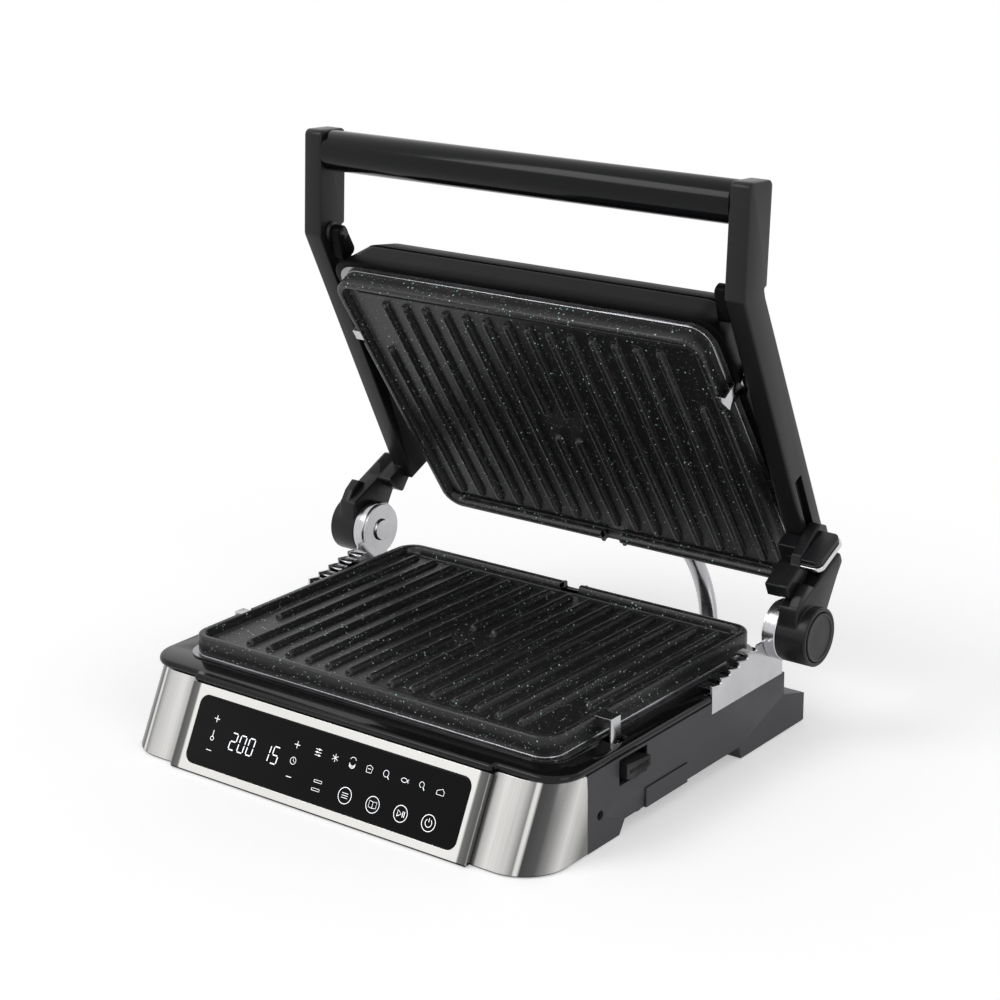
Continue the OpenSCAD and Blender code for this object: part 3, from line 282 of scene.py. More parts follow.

# %% [markdown]
# ## Steels
# The front of the grill is brushed upwards. Each brush line is a shallow scratch, so light is drawn out
# across the lines and the panel looks almost white. The lines come from noise that is stretched up the
# sloping front, which needs a coordinate that leans with it. Pressed and polished steels share the recipe,
# with broader and shallower marks. The dark streaks at the corners are painted reflections of the studio,
# as bent sheet mirrors it. The darker strip along each side edge of the front panel, and the dark start of
# each corner next to it, are painted shade. A colour ramp across the grill paints both, so they keep their
# place under any light.

# %% Steels
def steel(name, colour, roughness, lines, stretch, depth, edge, clouds=0.1, slope=0.0, deep=0.8, painted_shade_and_reflection=None):
    """Steel with drawn-out marks. stretch says how the marks run along X, Y and Z; slope leans them back.
    clouds is how much the gloss drifts and deep how dark the marks are. The last argument darkens it
    sideways with painted reflections and painted shade: (how much of Y counts, first place, length, stops)."""
    paint = Paint(name, Metallic=1.0)
    spot = paint.add("SeparateXYZ", {}, {"Vector": paint.add("TexCoord")["Object"]})
    leant = (spot["Y"] - spot["Z"] * slope) * stretch[1]
    sockets = {"X": spot["X"] * stretch[0], "Y": leant, "Z": spot["Z"] * stretch[2]}
    leaning = paint.add("CombineXYZ", {}, sockets)["Vector"]
    sockets = {"Vector": leaning, "Scale": lines, "Detail": 2.0, "Roughness": 0.6}
    marks = paint.add("TexNoise", {}, sockets)["Fac"]
    cloud = paint.noise(14.0, 3.0)
    dark = [c * deep for c in colour]
    tone = paint.blend(0.6 * marks + 0.4 * cloud, dark, colour)
    # Painted reflections and painted shade: a ramp across the grill darkens the colour in bands.
    if painted_shade_and_reflection:
        turn, first, length, stops = painted_shade_and_reflection
        across = spot["X"].maths("ABSOLUTE", spot["X"]) + (spot["Y"] - spot["Z"] * slope) * turn
        stops = [(place, (share, share, share)) for place, share in stops]
        share = paint.add("ValToRGB", {"stops": stops}, {"Fac": (across - first) * (1 / length)})["Color"]
        tone = paint.blend(share, (0.02, 0.02, 0.022), tone)
    gloss = roughness + clouds * (cloud - 0.5) + 0.12 * (marks - 0.5)
    return paint.done(tone, gloss, marks, depth, edge)


FRONT_SLOPE = 25 / 49.4
EVEN = (1, 1, 1)
BRUSHED = {"lines": 1500, "stretch": (1, 1, 0.012), "depth": 0.00002, "edge": 0.0004, "clouds": 0.06,
           "slope": FRONT_SLOPE}
FRONT_COLOUR = (0.88, 0.87, 0.85)
# Painted shade: the front panel darkens towards its side edges, where it meets the corners.
PANEL_EDGE_PAINTED_SHADE = (0, 0.100, 0.019, [(0, 1), (0.6, 1), (0.68, 0.18), (0.95, 0.1), (1, 0.4)])
# Painted reflections of the studio on the corners, with painted shade where each corner meets the panel.
WRAP_REFLECTION_AND_SHADE_STOPS = [(0, 0.15), (0.03, 0.6), (0.1, 1), (0.26, 0.75), (0.325, 0.3), (0.34, 1), (0.365, 1),
              (0.39, 0.06), (0.52, 0.1), (0.62, 0.35), (0.75, 0.9), (0.88, 0.7), (1, 0.3)]
PANEL_STEEL = steel("panel_steel", FRONT_COLOUR, 0.27, **BRUSHED, deep=0.82, painted_shade_and_reflection=PANEL_EDGE_PAINTED_SHADE)
WRAP_PAINTED_REFLECTIONS = (1, -0.0263, 0.09, WRAP_REFLECTION_AND_SHADE_STOPS)
WRAP_STEEL = steel("wrap_steel", FRONT_COLOUR, 0.24, **BRUSHED, deep=0.6, painted_shade_and_reflection=WRAP_PAINTED_REFLECTIONS)
SIDEWAYS_LINES = (0.012, 1, 1)
COVER_STEEL = steel("cover_steel", (0.58, 0.58, 0.59), 0.34, 1500, SIDEWAYS_LINES, 0.00002, 0.0004, 0.08,
                    deep=0.62)
steel("pressed_steel", (0.5, 0.5, 0.52), 0.28, 90, EVEN, 0.00001, 0.0, 0.16, deep=0.3)
steel("bright_steel", (0.66, 0.66, 0.68), 0.2, 900, (1, 0.08, 0.08), 0.000012, 0.0003, 0.12, deep=0.6)
CHROME_TRIM = steel("chrome_trim", (0.74, 0.74, 0.76), 0.1, 500, EVEN, 0.000004, 0.0005, 0.06, deep=0.7)
CONDUIT_STEEL = steel("conduit_steel", (0.4, 0.4, 0.42), 0.22, 320, (1, 1, 0.15), 0.000012, 0.0)
print("finishes so far", len(FINISHES), "the last one", CONDUIT_STEEL.name)

# %% [markdown]
# ## Cast plates
# The plates are cast aluminium with a sprayed stone-look coating: near black, slightly grainy, with
# scattered pale and sea-green flecks of half a millimetre. A Voronoi pattern puts one point in each cell,
# so a small distance from the point makes a round fleck, and the cell's own random number decides whether
# that fleck is there at all. Drawing each fleck as a mesh would cost far more for the same look.

# %% Non-stick coating
def flecks(paint, per_metre, size, share):
    """(mask, cell colour) of scattered round flecks; share is the part of the cells that have one."""
    cells = paint.add("TexVoronoi", {}, {"Vector": paint.place(), "Scale": per_metre, "Randomness": 1.0})
    parts = paint.add("SeparateColor", {}, {"Color": cells["Color"]})
    reach = size * (0.4 + parts["Green"])
    return cells["Distance"].below(reach) * parts["Red"].below(share), parts["Blue"]


def cast_coating():
    paint = Paint("nonstick", IOR=1.45, Specular_IOR_Level=0.5)
    pale, pale_tint = flecks(paint, 290, 0.13, 0.75)
    fine, fine_tint = flecks(paint, 700, 0.2, 0.5)
    green = paint.blend(pale_tint, (0.26, 0.58, 0.5), (0.68, 0.72, 0.7))
    grey = paint.blend(fine_tint, (0.12, 0.14, 0.14), (0.34, 0.37, 0.36))
    grain = paint.noise(1500, 2.0)
    ground = paint.blend(grain, (0.004, 0.004, 0.0045), (0.016, 0.0155, 0.016))
    colour = paint.blend(pale, paint.blend(fine, ground, grey), green)
    rough = 0.26 + 0.2 * grain - 0.06 * pale
    return paint.done(colour, rough, grain + 0.6 * fine + 0.9 * pale, 0.00004, 0.0009)


NONSTICK = cast_coating()
print("coating", NONSTICK.name, len(NONSTICK.node_tree.nodes), "nodes")

# %% [markdown]
# ## Glass, board, ceramic, rubber and heater
# Each of these is seen only in part, but a reader who opens the lid or turns the grill over should still
# find the right stuff. The touch glass is painted black behind, so it is a dark glossy shader with faint
# wipe marks. The heater's steel has blued and browned with heat, in bands along the tube.

# %% Glass and inner materials
def display_glass_finish():
    paint = Paint("display_glass", IOR=1.5, Coat_Roughness=0.03)
    wipes = paint.noise(60, 4.0, (0.3, 1, 1), 0.7)
    dust = paint.noise(900, 1.0)
    colour = paint.blend(wipes, (0.0016, 0.0016, 0.0019), (0.0042, 0.0042, 0.0046))
    return paint.done(colour, 0.045 + 0.05 * wipes + 0.02 * dust, edge=0.0004, Specular_IOR_Level=0.1)


def board_finish():
    paint = Paint("circuit_board", IOR=1.5)
    tracks = paint.add("TexBrick", {"offset": 0.5}, {"Vector": paint.place(), "Scale": 160.0})["Fac"]
    grain = paint.noise(400, 2.0)
    ground = paint.blend(grain, (0.01, 0.1, 0.04), (0.02, 0.17, 0.07))
    colour = paint.blend(tracks, ground, (0.03, 0.27, 0.12))
    return paint.done(colour, 0.35 + 0.2 * grain, tracks, 0.00004, 0.0003)


def speckled(name, colour, spots, roughness, grain):
    """A matt material with a fine speckle, such as fired clay or rubber."""
    paint = Paint(name, IOR=1.5)
    speckle = paint.noise(grain, 4.0, rough=0.7)
    cloud = paint.noise(30, 2.0)
    tone = paint.blend(speckle * 0.7 + cloud * 0.3, spots, colour)
    return paint.done(tone, roughness + 0.1 * (cloud - 0.5), speckle, 0.00005, 0.0004)


def heater_finish():
    paint = Paint("heater_steel", Metallic=0.85)
    band = paint.noise(22, 3.0, (1, 0.4, 1))
    stops = [(0.25, (0.33, 0.31, 0.3)), (0.45, (0.3, 0.22, 0.13)), (0.6, (0.13, 0.12, 0.2)),
             (0.8, (0.36, 0.35, 0.34))]
    tint = paint.add("ValToRGB", {"stops": stops}, {"Fac": band})["Color"]
    scale = paint.noise(700, 3.0)
    return paint.done(tint, 0.38 + 0.25 * scale, scale, 0.00003)


display_glass_finish()
board_finish()
speckled("ceramic", (0.74, 0.7, 0.62), (0.5, 0.46, 0.4), 0.6, 900)
speckled("rubber", (0.014, 0.014, 0.015), (0.006, 0.006, 0.006), 0.82, 1400)
heater_finish()
print("finishes so far", len(FINISHES))

# %% [markdown]
# ## The lit marks
# The marks shine white through the painted glass. A printed mark is even, but a lit one is a little brighter
# over its lamp, so slow noise varies the strength of the colour.

# %% Lit marks
def lit_marks():
    paint = Paint("lit_marks", Emission_Strength=1.0)
    lamp = paint.noise(45, 1.0)
    glow = paint.blend(lamp, (0.72, 0.76, 0.82), (1.0, 1.0, 1.0))
    return paint.done(glow, 0.35 + 0.1 * lamp, Emission_Color=glow)


LIT_MARKS = lit_marks()
print("marks", LIT_MARKS.name)

# %% [markdown]
# ## Shapes from outlines
# Most pieces of a grill are made in one of three ways: cut from sheet, moulded between two outlines, or
# turned. So three helpers make the meshes, in millimetres as on a maker's drawing, and one matrix takes
# them to metres. Every corner that a hand would feel is rounded in the mesh, because a sharp edge never
# catches the light.

# %% Outlines and placing
TO_METRES = Matrix.Scale(MM, 4)
HINGE = Vector((0, 115, 76.5))
FLOAT_PIVOT = Vector((0, -115.5, 101.5))


def turned(angle, about):
    """A turn about an axis along X through a point."""
    turn = Matrix.Rotation(math.radians(angle), 4, "X")
    return Matrix.Translation(about) @ turn @ Matrix.Translation(-about)


BASE_POSE = Matrix.Identity(4)
ARMS_POSE = turned(-71.4, HINGE)
LID_POSE = ARMS_POSE @ turned(14.1, FLOAT_PIVOT)
SIDEWAYS = Matrix(((0, 0, 1, 0), (1, 0, 0, 0), (0, 1, 0, 0), (0, 0, 0, 1)))


def rounded(points, radius, steps=6):
    """A closed outline with each corner rounded; radius is one number, or one for each corner."""
    outline = []
    for i, corner in enumerate(points):
        here = Vector(corner)
        back = Vector(points[i - 1]) - here
        on = Vector(points[(i + 1) % len(points)]) - here
        size = radius[i] if isinstance(radius, (list, tuple)) else radius
        half = back.angle(on) / 2
        if size <= 0 or half > 1.5:
            outline.append(here)
            continue
        reach = min(size / math.tan(half), 0.45 * back.length, 0.45 * on.length)
        size = reach * math.tan(half)
        centre = here + (back.normalized() + on.normalized()).normalized() * size / math.sin(half)
        start = here + back.normalized() * reach - centre
        end = here + on.normalized() * reach - centre
        for k in range(steps + 1):
            outline.append(centre + (start.lerp(end, k / steps)).normalized() * size)
    return outline


def oblong(x0, x1, y0, y1, radius, steps=8):
    """A rectangle with round corners, anticlockwise."""
    return rounded([(x0, y0), (x1, y0), (x1, y1), (x0, y1)], radius, steps)


def at_height(outline, z):
    return [Vector((p[0], p[1], z)) for p in outline]


print("lid turns about", tuple(HINGE), "and tilts about", tuple(FLOAT_PIVOT))

# %% [markdown]
# ## Skins, turned pieces and cut pieces
# A skin runs through rings of points, a turned piece is such a skin round an axis, and a cut piece is a
# filled curve with a bevel. The first two need no modifier. The curve does its own rounding, holes
# included.

# %% Skins, turned pieces and cut pieces
def baked(holder, *helpers):
    """The plain mesh of an object with its modifiers; the object and its helpers are then removed."""
    bpy.context.view_layer.update()
    mesh = bpy.data.meshes.new_from_object(holder.evaluated_get(bpy.context.evaluated_depsgraph_get()))
    for done_with in (*helpers, holder):
        bpy.data.objects.remove(done_with)
    return mesh


def cleaned(bm, weld=0.0005):
    """Welds doubles and turns every face outwards."""
    bmesh.ops.remove_doubles(bm, verts=bm.verts, dist=weld)
    bmesh.ops.recalc_face_normals(bm, faces=bm.faces)
    open_edges = sum(1 for e in bm.edges if len(e.link_faces) != 2)
    if open_edges:
        print("open edges", open_edges)
    mesh = bpy.data.meshes.new("skin")
    bm.to_mesh(mesh)
    bm.free()
    return mesh


def loft(rings, closed=False):
    """A skin through rings of equally many points; its ends are capped unless it closes on itself."""
    bm = bmesh.new()
    layers = [[bm.verts.new(p) for p in ring] for ring in rings]
    following = layers[1:] + layers[:1] if closed else layers[1:]
    for low, high in zip(layers, following):
        for i in range(len(low)):
            bm.faces.new((low[i - 1], low[i], high[i], high[i - 1]))
    if not closed:
        bm.faces.new(layers[0])
        bm.faces.new(layers[-1])
    return cleaned(bm)


def turned_piece(profile, centre, round_by=0.6, sides=72):
    """Turned about X through centre. profile is (x, radius) pairs, closed or ending on the axis."""
    on_axis = profile[0][1] == 0
    radii = [0 if p[1] == 0 else round_by for p in profile]
    section = rounded(profile, radii, 4)
    rings = []
    for x, r in section:
        angles = [math.tau * i / sides for i in range(sides)]
        rings.append([Vector((x, centre.y + r * math.cos(a), centre.z + r * math.sin(a))) for a in angles])
    return loft(rings, closed=not on_axis)


def signed_area(outline):
    return sum(outline[i - 1][0] * p[1] - p[0] * outline[i - 1][1] for i, p in enumerate(outline)) / 2


def cut_piece(outlines, low, high, round_by, pose=BASE_POSE):
    """The first outline less the others, from low to high across it, with all its edges rounded."""
    curve = bpy.data.curves.new("outline", "CURVE")
    curve.dimensions = "2D"
    curve.fill_mode = "BOTH"
    curve.extrude = (high - low) / 2 - round_by
    curve.bevel_depth = round_by
    curve.bevel_resolution = 2
    curve.offset = -round_by
    for i, outline in enumerate(outlines):
        wanted = 1 if i == 0 else -1
        points = list(outline) if signed_area(outline) * wanted > 0 else list(reversed(outline))
        spline = curve.splines.new("POLY")
        spline.points.add(len(points) - 1)
        spline.use_cyclic_u = True
        for point, spot in zip(spline.points, points):
            point.co = (spot[0], spot[1], 0, 1)
    flat = baked(put_in_scene("outline", curve))
    flat.transform(pose @ Matrix.Translation((0, 0, (low + high) / 2)))
    bm = bmesh.new()
    bm.from_mesh(flat)
    return cleaned(bm)


def side_cut(outlines, x0, x1, round_by, pose=BASE_POSE):
    """A piece cut in the Y-Z plane and carried along X."""
    return cut_piece(outlines, x0, x1, round_by, pose @ SIDEWAYS)


def joined(meshes):
    """Several meshes as one."""
    bm = bmesh.new()
    for mesh in meshes:
        bm.from_mesh(mesh)
    mesh = bpy.data.meshes.new("joined")
    bm.to_mesh(mesh)
    bm.free()
    return mesh


def mirrored(mesh):
    """The same piece for the other side, with its faces turned outwards again."""
    other = mesh.copy()
    other.transform(Matrix.Scale(-1, 4, (1, 0, 0)))
    other.flip_normals()
    return other


# %% [markdown]
# ## Fitting a piece to the model
# A finished piece gets its material, rides on the CAD body that it belongs to, and hides the node it
# stands for. Where the CAD node's own form is right, its skin is copied, its loose triangles are welded,
# and the smooth parts are told from the creases by their angle.

# %% Fitting pieces
SLOT_OF = {part["node"]: part["material_slot"] for part in frame["record"]["subparts"]}
CREASE = 32


def smoothed(name, mesh, finish, crease=CREASE):
    """A mesh drawn in millimetres, as a finished object in metres."""
    mesh.transform(TO_METRES)
    mesh.materials.clear()
    mesh.materials.append(finish)
    mesh.shade_smooth()
    mesh.set_sharp_from_angle(angle=math.radians(crease))
    return put_in_scene(name, mesh)


def fit(name, mesh, node, pose=BASE_POSE, finish=None, crease=CREASE):
    """Puts a mesh in its pose in the scene, in place of its CAD node."""
    mesh.transform(pose)
    piece = smoothed(name, mesh, finish or FINISHES[SLOT_OF[node]], crease)
    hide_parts(node)
    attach(piece, body_of(frame["nodes"][node])[0])
    print(name, "stands for", node, "faces", len(mesh.polygons))
    return piece


def dressed(node, finish=None, crease=CREASE, weld=0.000002):
    """The CAD node's own skin, welded and smoothed."""
    bm = bmesh.new()
    bm.from_mesh(frame["nodes"][node].data)
    bmesh.ops.remove_doubles(bm, verts=bm.verts, dist=weld)
    mesh = bpy.data.meshes.new(node)
    bm.to_mesh(mesh)
    bm.free()
    mesh.transform(Matrix.Scale(1 / MM, 4))
    return fit(node + "_skin", mesh, node, finish=finish, crease=crease)

# %% [markdown]
# ## The glossy deck
# A black polished moulding covers the base around the lower plate. It is a flat piece with one large hole,
# so it is drawn as a filled curve: its bevel gives the soft edge that shows as a thin bright line all round.
# A solid with a Bevel modifier would do as well, but the hole would need a cut first.

# %% Deck
WALL_TOP = 50.7
DECK_TOP = 55.5
DECK_ROUND = 2.2
HALF_WIDTH = 166.5
DECK_FRONT = -120.5
PANEL_HALF = 119
PANEL_PROUD = 4.5
STEP_Y = 37.5
BACK_HALF = 161.7
DECK_BACK = 124
CATCH_Y = -50
EAR = 5.6


def deck_outline():
    right = [(PANEL_HALF, DECK_FRONT - PANEL_PROUD), (PANEL_HALF, DECK_FRONT), (HALF_WIDTH, DECK_FRONT),
             (HALF_WIDTH, STEP_Y), (BACK_HALF, STEP_Y), (BACK_HALF, DECK_BACK)]
    left = [(-x, y) for x, y in reversed(right)]
    radii = [2.4, 1.5, 30, 2.4, 1, 2.6]
    return rounded(left[-1:] + right + left[:-1], radii[:1] + radii + radii[:0:-1], 10)


def block(x0, x1, y0, y1, z0, z1, round_by=0.4, pose=BASE_POSE):
    """A moulded block with soft edges."""
    return cut_piece([oblong(x0, x1, y0, y1, round_by + 0.1, 3)], z0, z1, round_by, pose)


deck_holes = [oblong(-140, 140, -94.5, 113.5, 10)]
for side in (-1, 1):
    deck_holes.append(oblong(side * 153 - 6, side * 153 + 6, CATCH_Y - EAR, CATCH_Y + EAR, 1, 3))
deck_parts = [cut_piece([deck_outline()] + deck_holes, WALL_TOP, DECK_TOP, DECK_ROUND)]
for y in (CATCH_Y - EAR - 3, CATCH_Y + EAR):
    deck_parts.append(block(150, 158, y, y + 3, 43.2, WALL_TOP + 0.6))
for x in (-126, 126):
    deck_parts.append(cut_piece([rounded([(x - 4, -110), (x + 4, -110), (x + 4, -102), (x - 4, -102)], 3.9)],
                                3.3, WALL_TOP + 0.5, 0.3))
fit("deck", joined(deck_parts), "deck_bezel")

# %% [markdown]
# ## The touch display
# The glass is set into the sloping steel panel and stands a fraction proud. Its marks are lit from behind:
# plus and minus signs, numbers in seven bars, and a row of simple pictograms for the programmes. The marks
# are thin strokes half sunk in the glass, drawn as poly curves with a round bevel, because a stroke in
# real geometry stays crisp from any distance. The numbers and pictograms are plain, generic ones.

# %% Display glass
LEAN = 26.84
PANEL_POSE = Matrix.Translation((0, -150, 1.3)) @ Matrix.Rotation(math.radians(90 - LEAN), 4, "X")
GLASS_FACE = 0.4
glass = cut_piece([oblong(-108.5, 108.5, 5.9, 49.5, 6.5)], GLASS_FACE - 3, GLASS_FACE, 0.4, PANEL_POSE)
fit("touch_glass", glass, "display_glass")

# %% Strokes for the marks
SEGMENTS = {"a": ((0, 2), (1, 2)), "b": ((1, 2), (1, 1)), "c": ((1, 1), (1, 0)), "d": ((0, 0), (1, 0)),
            "e": ((0, 1), (0, 0)), "f": ((0, 2), (0, 1)), "g": ((0, 1), (1, 1))}
DIGITS = {"0": "abcdef", "1": "bc", "2": "abged", "5": "afgcd"}
strokes = []


def line(points, width=0.36):
    strokes.append(([Vector(p) for p in points], width))


def ring(u, v, radius, start=0, sweep=360, width=0.36):
    """A circle, or part of one, anticlockwise from start in degrees."""
    count = max(6, int(sweep / 18))
    angles = [math.radians(start + sweep * i / count) for i in range(count + 1)]
    strokes.append(([Vector((u + radius * math.cos(a), v + radius * math.sin(a))) for a in angles], width))


def digit(u, v, character, width=4.6, height=10.6, slant=0.09):
    """One number in seven bars, slightly slanted; (u, v) is its lower left corner."""
    for name in DIGITS[character]:
        ends = []
        (a, b), (c, d) = SEGMENTS[name]
        for x, y, other_x, other_y in ((a, b, c, d), (c, d, a, b)):
            x = x + 0.1 * (other_x - x)
            y = y + 0.1 * (other_y - y)
            rise = y * height / 2
            ends.append((u + x * width + slant * rise, v + rise))
        line(ends, 0.75)


def plus(u, v, size=2.2):
    line([(u - size, v), (u + size, v)], 0.45)
    line([(u, v - size), (u, v + size)], 0.45)


def minus(u, v, size=2.1):
    line([(u - size, v), (u + size, v)], 0.45)


# %% The marks themselves
for column in (-91.0, -23.5):
    plus(column, 37.0)
    minus(column, 16.8)
line([(-91, 25.8), (-91, 29.6)], 0.5)
ring(-91, 24.4, 1.25, width=0.45)
ring(-23.5, 26.9, 2.2)
line([(-23.5, 28.3), (-23.5, 26.9), (-22.4, 26.3)])
for number, first, pitch in (("200", -76.2, 7.3), ("15", -48.2, 7.2)):
    for i, character in enumerate(number):
        digit(first + pitch * i, 21.2, character)


def drawn(at, points, width=0.36):
    """A stroke whose points are given about a place."""
    line([(at[0] + u, at[1] + v) for u, v in points], width)


ROW = 36.5
SPOTS = [-6.3, 7.3, 21.0, 34.4, 47.7, 61.3, 74.5, 88.7]
SIGNS = [(spot, ROW) for spot in SPOTS]
for k, knob in enumerate((0.9, -1.0, 0.4)):
    v = ROW - 1.8 + 1.8 * k
    line([(SPOTS[0] - 2.4, v), (SPOTS[0] + 2.4, v)])
    ring(SPOTS[0] + knob, v, 0.45, width=0.4)
for degrees in (30, 90, 150):
    across = 2.5 * math.cos(math.radians(degrees))
    up = 2.5 * math.sin(math.radians(degrees))
    drawn(SIGNS[1], [(-across, -up), (across, up)])
for k in range(3):
    ring(SPOTS[2], ROW + 0.7 * k - 0.6, 2.4, 200, 140)
ring(SPOTS[2], ROW + 1.4, 2.4, 20, 140)
drawn(SIGNS[3], [(-1.9, -2.2), (1.9, -2.2), (2.3, 1.2), (0, 2.3), (-2.3, 1.2), (-1.9, -2.2)])
drawn(SIGNS[3], [(-1.2, 0), (1.2, 0)])
ring(SPOTS[4] - 0.5, ROW + 0.4, 2.0)
drawn(SIGNS[4], [(0.8, -1.1), (2.3, -2.5)], 0.5)
ring(SPOTS[5], ROW - 1.6, 2.9, 35, 110)
ring(SPOTS[5], ROW + 1.6, 2.9, 215, 110)
drawn(SIGNS[5], [(2.3, 0), (3.3, 1.2), (3.3, -1.2), (2.3, 0)])
ring(SPOTS[6], ROW + 0.7, 1.7, -30, 300)
drawn(SIGNS[6], [(1.2, -0.5), (2.4, -2.2)], 0.6)
drawn(SIGNS[7], [(-2.6, -1.9), (-2.6, 0.3), (1.2, 1.9), (2.8, 0.3), (2.8, -1.9), (-2.6, -1.9)])
for at in ((-0.7, 19.6), (-1.0, 14.5)):
    drawn(at, [(-3, -0.7), (3, -0.7), (3, 0.7), (-3, 0.7), (-3, -0.7)])
BUTTONS = ((21.8, 16.8), (43.6, 16.9), (65.1, 17.1), (86.3, 17.1))
for u, v in BUTTONS:
    ring(u, v, 5.0, width=0.45)
for up in (-1.4, 0, 1.4):
    drawn(BUTTONS[0], [(-2.4, up), (2.4, up)])
drawn(BUTTONS[1], [(0, 1.6), (-2.8, 2.1), (-2.8, -1.8), (0, -2.2), (2.8, -1.8), (2.8, 2.1), (0, 1.6),
                   (0, -2.2)])
drawn(BUTTONS[2], [(-2.3, -1.9), (0.7, 0), (-2.3, 1.9), (-2.3, -1.9)], 0.5)
for along in (1.6, 2.8):
    drawn(BUTTONS[2], [(along, -1.8), (along, 1.8)], 0.5)
ring(*BUTTONS[3], 2.4, 125, 290, width=0.45)
drawn(BUTTONS[3], [(0, 0.6), (0, 3.0)], 0.45)
print("strokes", len(strokes))


def marks_mesh():
    """Every stroke as a thin round bar lying in the face of the glass."""
    meshes = []
    for width in sorted({s[1] for s in strokes}):
        curve = bpy.data.curves.new("strokes", "CURVE")
        curve.dimensions = "3D"
        curve.bevel_depth = width / 2
        curve.bevel_resolution = 1
        curve.use_fill_caps = True
        for points, own_width in strokes:
            if own_width == width:
                spline = curve.splines.new("POLY")
                spline.points.add(len(points) - 1)
                for spot, point in zip(spline.points, points):
                    spot.co = (point.x, point.y, 0, 1)
        meshes.append(baked(put_in_scene("strokes", curve)))
    mesh = joined(meshes)
    half_sunk = Matrix.Translation((0, 0, GLASS_FACE - 0.02)) @ Matrix.Diagonal((1, 1, 0.5, 1))
    mesh.transform(PANEL_POSE @ half_sunk)
    return mesh


marks = marks_mesh()
marks.transform(TO_METRES)
marks.materials.clear()
marks.materials.append(LIT_MARKS)
display_marks = put_in_scene("display_marks", marks)
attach(display_marks, "base")
print("marks", len(marks.polygons), "faces")

# %% [markdown]
# ## Cooking plates
# Each plate is one casting: a tray with a rounded rim, sloping inner walls, a grease channel along its
# front and back, a pouring lip, two notches for the catches and sixteen ribs. The tray is a skin drawn
# through rounded rectangles, from the recess underneath, over the rim, down to the cooking face. The
# channels, the lip and the notches are then cut with Boolean modifiers, as a miller would cut them in a
# pattern.

# %% Cutting
def carved(mesh, cutters):
    """The mesh less each cutter."""
    holder = put_in_scene("carved", mesh)
    helpers = [put_in_scene("cutter", cutter) for cutter in cutters]
    for helper in helpers:
        cut = holder.modifiers.new("cut", "BOOLEAN")
        cut.operation = "DIFFERENCE"
        cut.solver = "EXACT"
        cut.object = helper
    return baked(holder, *helpers)


print("cutting is ready")


# %% Plate tray
PLATE_HALF = 145
PLATE_FRONT = -101.5
PLATE_BACK = 122.5
FACE_DROP = 5.2
# height below the rim, and distance in from the outer edge
PLATE_SECTION = [(-9.5, 5.6), (-9.5, 5.2), (-12.9, 5.0), (-12.9, 1.2), (-12.3, 0.35), (-11.3, 0), (-6, 0),
                 (-1.7, 0), (-0.8, 0.3), (-0.2, 0.95), (0, 1.9), (0, 3.5), (-0.25, 4.4), (-0.9, 5.1),
                 (-2.4, 5.6), (-4.1, 6.2), (-4.9, 6.7), (-FACE_DROP, 7.6), (-FACE_DROP, 9)]


def plate_ring(z, inset):
    outline = oblong(-PLATE_HALF + inset, PLATE_HALF - inset, PLATE_FRONT + inset, PLATE_BACK - inset,
                     max(14 - inset, 4.5), 10)
    return at_height(outline, z)


def plate_tray():
    cutters = [cut_piece([oblong(-131, 131, y, y + 5.5, 2.6)], -FACE_DROP - 1.2, 2, 0.9) for y in (-95, 111)]
    spout = cut_piece([oblong(-8, 8, PLATE_BACK - 9, PLATE_BACK + 9, 1.5)], -FACE_DROP - 0.6, 4, 1.2)
    cutters.append(spout)
    for side in (-1, 1):
        middle = side * (PLATE_HALF + 0.6)
        notch = oblong(middle - 3.7, middle + 3.7, CATCH_Y - 6.5, CATCH_Y + 6.5, 1.2)
        cutters.append(cut_piece([notch], -2.1, 3, 0.5))
    tray = carved(loft([plate_ring(z, inset) for z, inset in PLATE_SECTION]), cutters)
    lip = block(-10.5, 10.5, PLATE_BACK - 5, PLATE_BACK + 4, -FACE_DROP - 3, -1.5, 1.2)
    return joined([tray, carved(lip, [spout])])


print("plate", 2 * PLATE_HALF, "by", PLATE_BACK - PLATE_FRONT)



# %% [markdown]
# ## Ribs by Geometry Nodes
# The ribs are one shape set out along a line, at one pitch. That is a rule, so a node tree makes them:
# a Mesh Line gives the places, Instance on Points puts a rib at each, and Realize Instances turns them
# into real faces. The outer ribs start behind the catches and the middle two leave room for the sensor,
# so the tree runs once for each length of rib.

# %% Rib row tree
def placing_tree(name, inputs):
    """A tree that puts one shape at many places and paints it; the shape and places are linked on later."""
    tree = bpy.data.node_groups.new(name, "GeometryNodeTree")
    for socket, kind in [("Geometry", "Geometry")] + inputs + [("Finish", "Material")]:
        tree.interface.new_socket(socket, in_out="INPUT", socket_type="NodeSocket" + kind)
    tree.interface.new_socket("Geometry", in_out="OUTPUT", socket_type="NodeSocketGeometry")
    start = tree.nodes.new("NodeGroupInput")
    end = tree.nodes.new("NodeGroupOutput")
    put = tree.nodes.new("GeometryNodeInstanceOnPoints")
    real = tree.nodes.new("GeometryNodeRealizeInstances")
    paint = tree.nodes.new("GeometryNodeSetMaterial")
    for a, b in ((put.outputs[0], real.inputs[0]), (real.outputs[0], paint.inputs["Geometry"]),
                 (start.outputs["Finish"], paint.inputs["Material"]), (paint.outputs[0], end.inputs[0])):
        tree.links.new(a, b)
    return tree, start, put


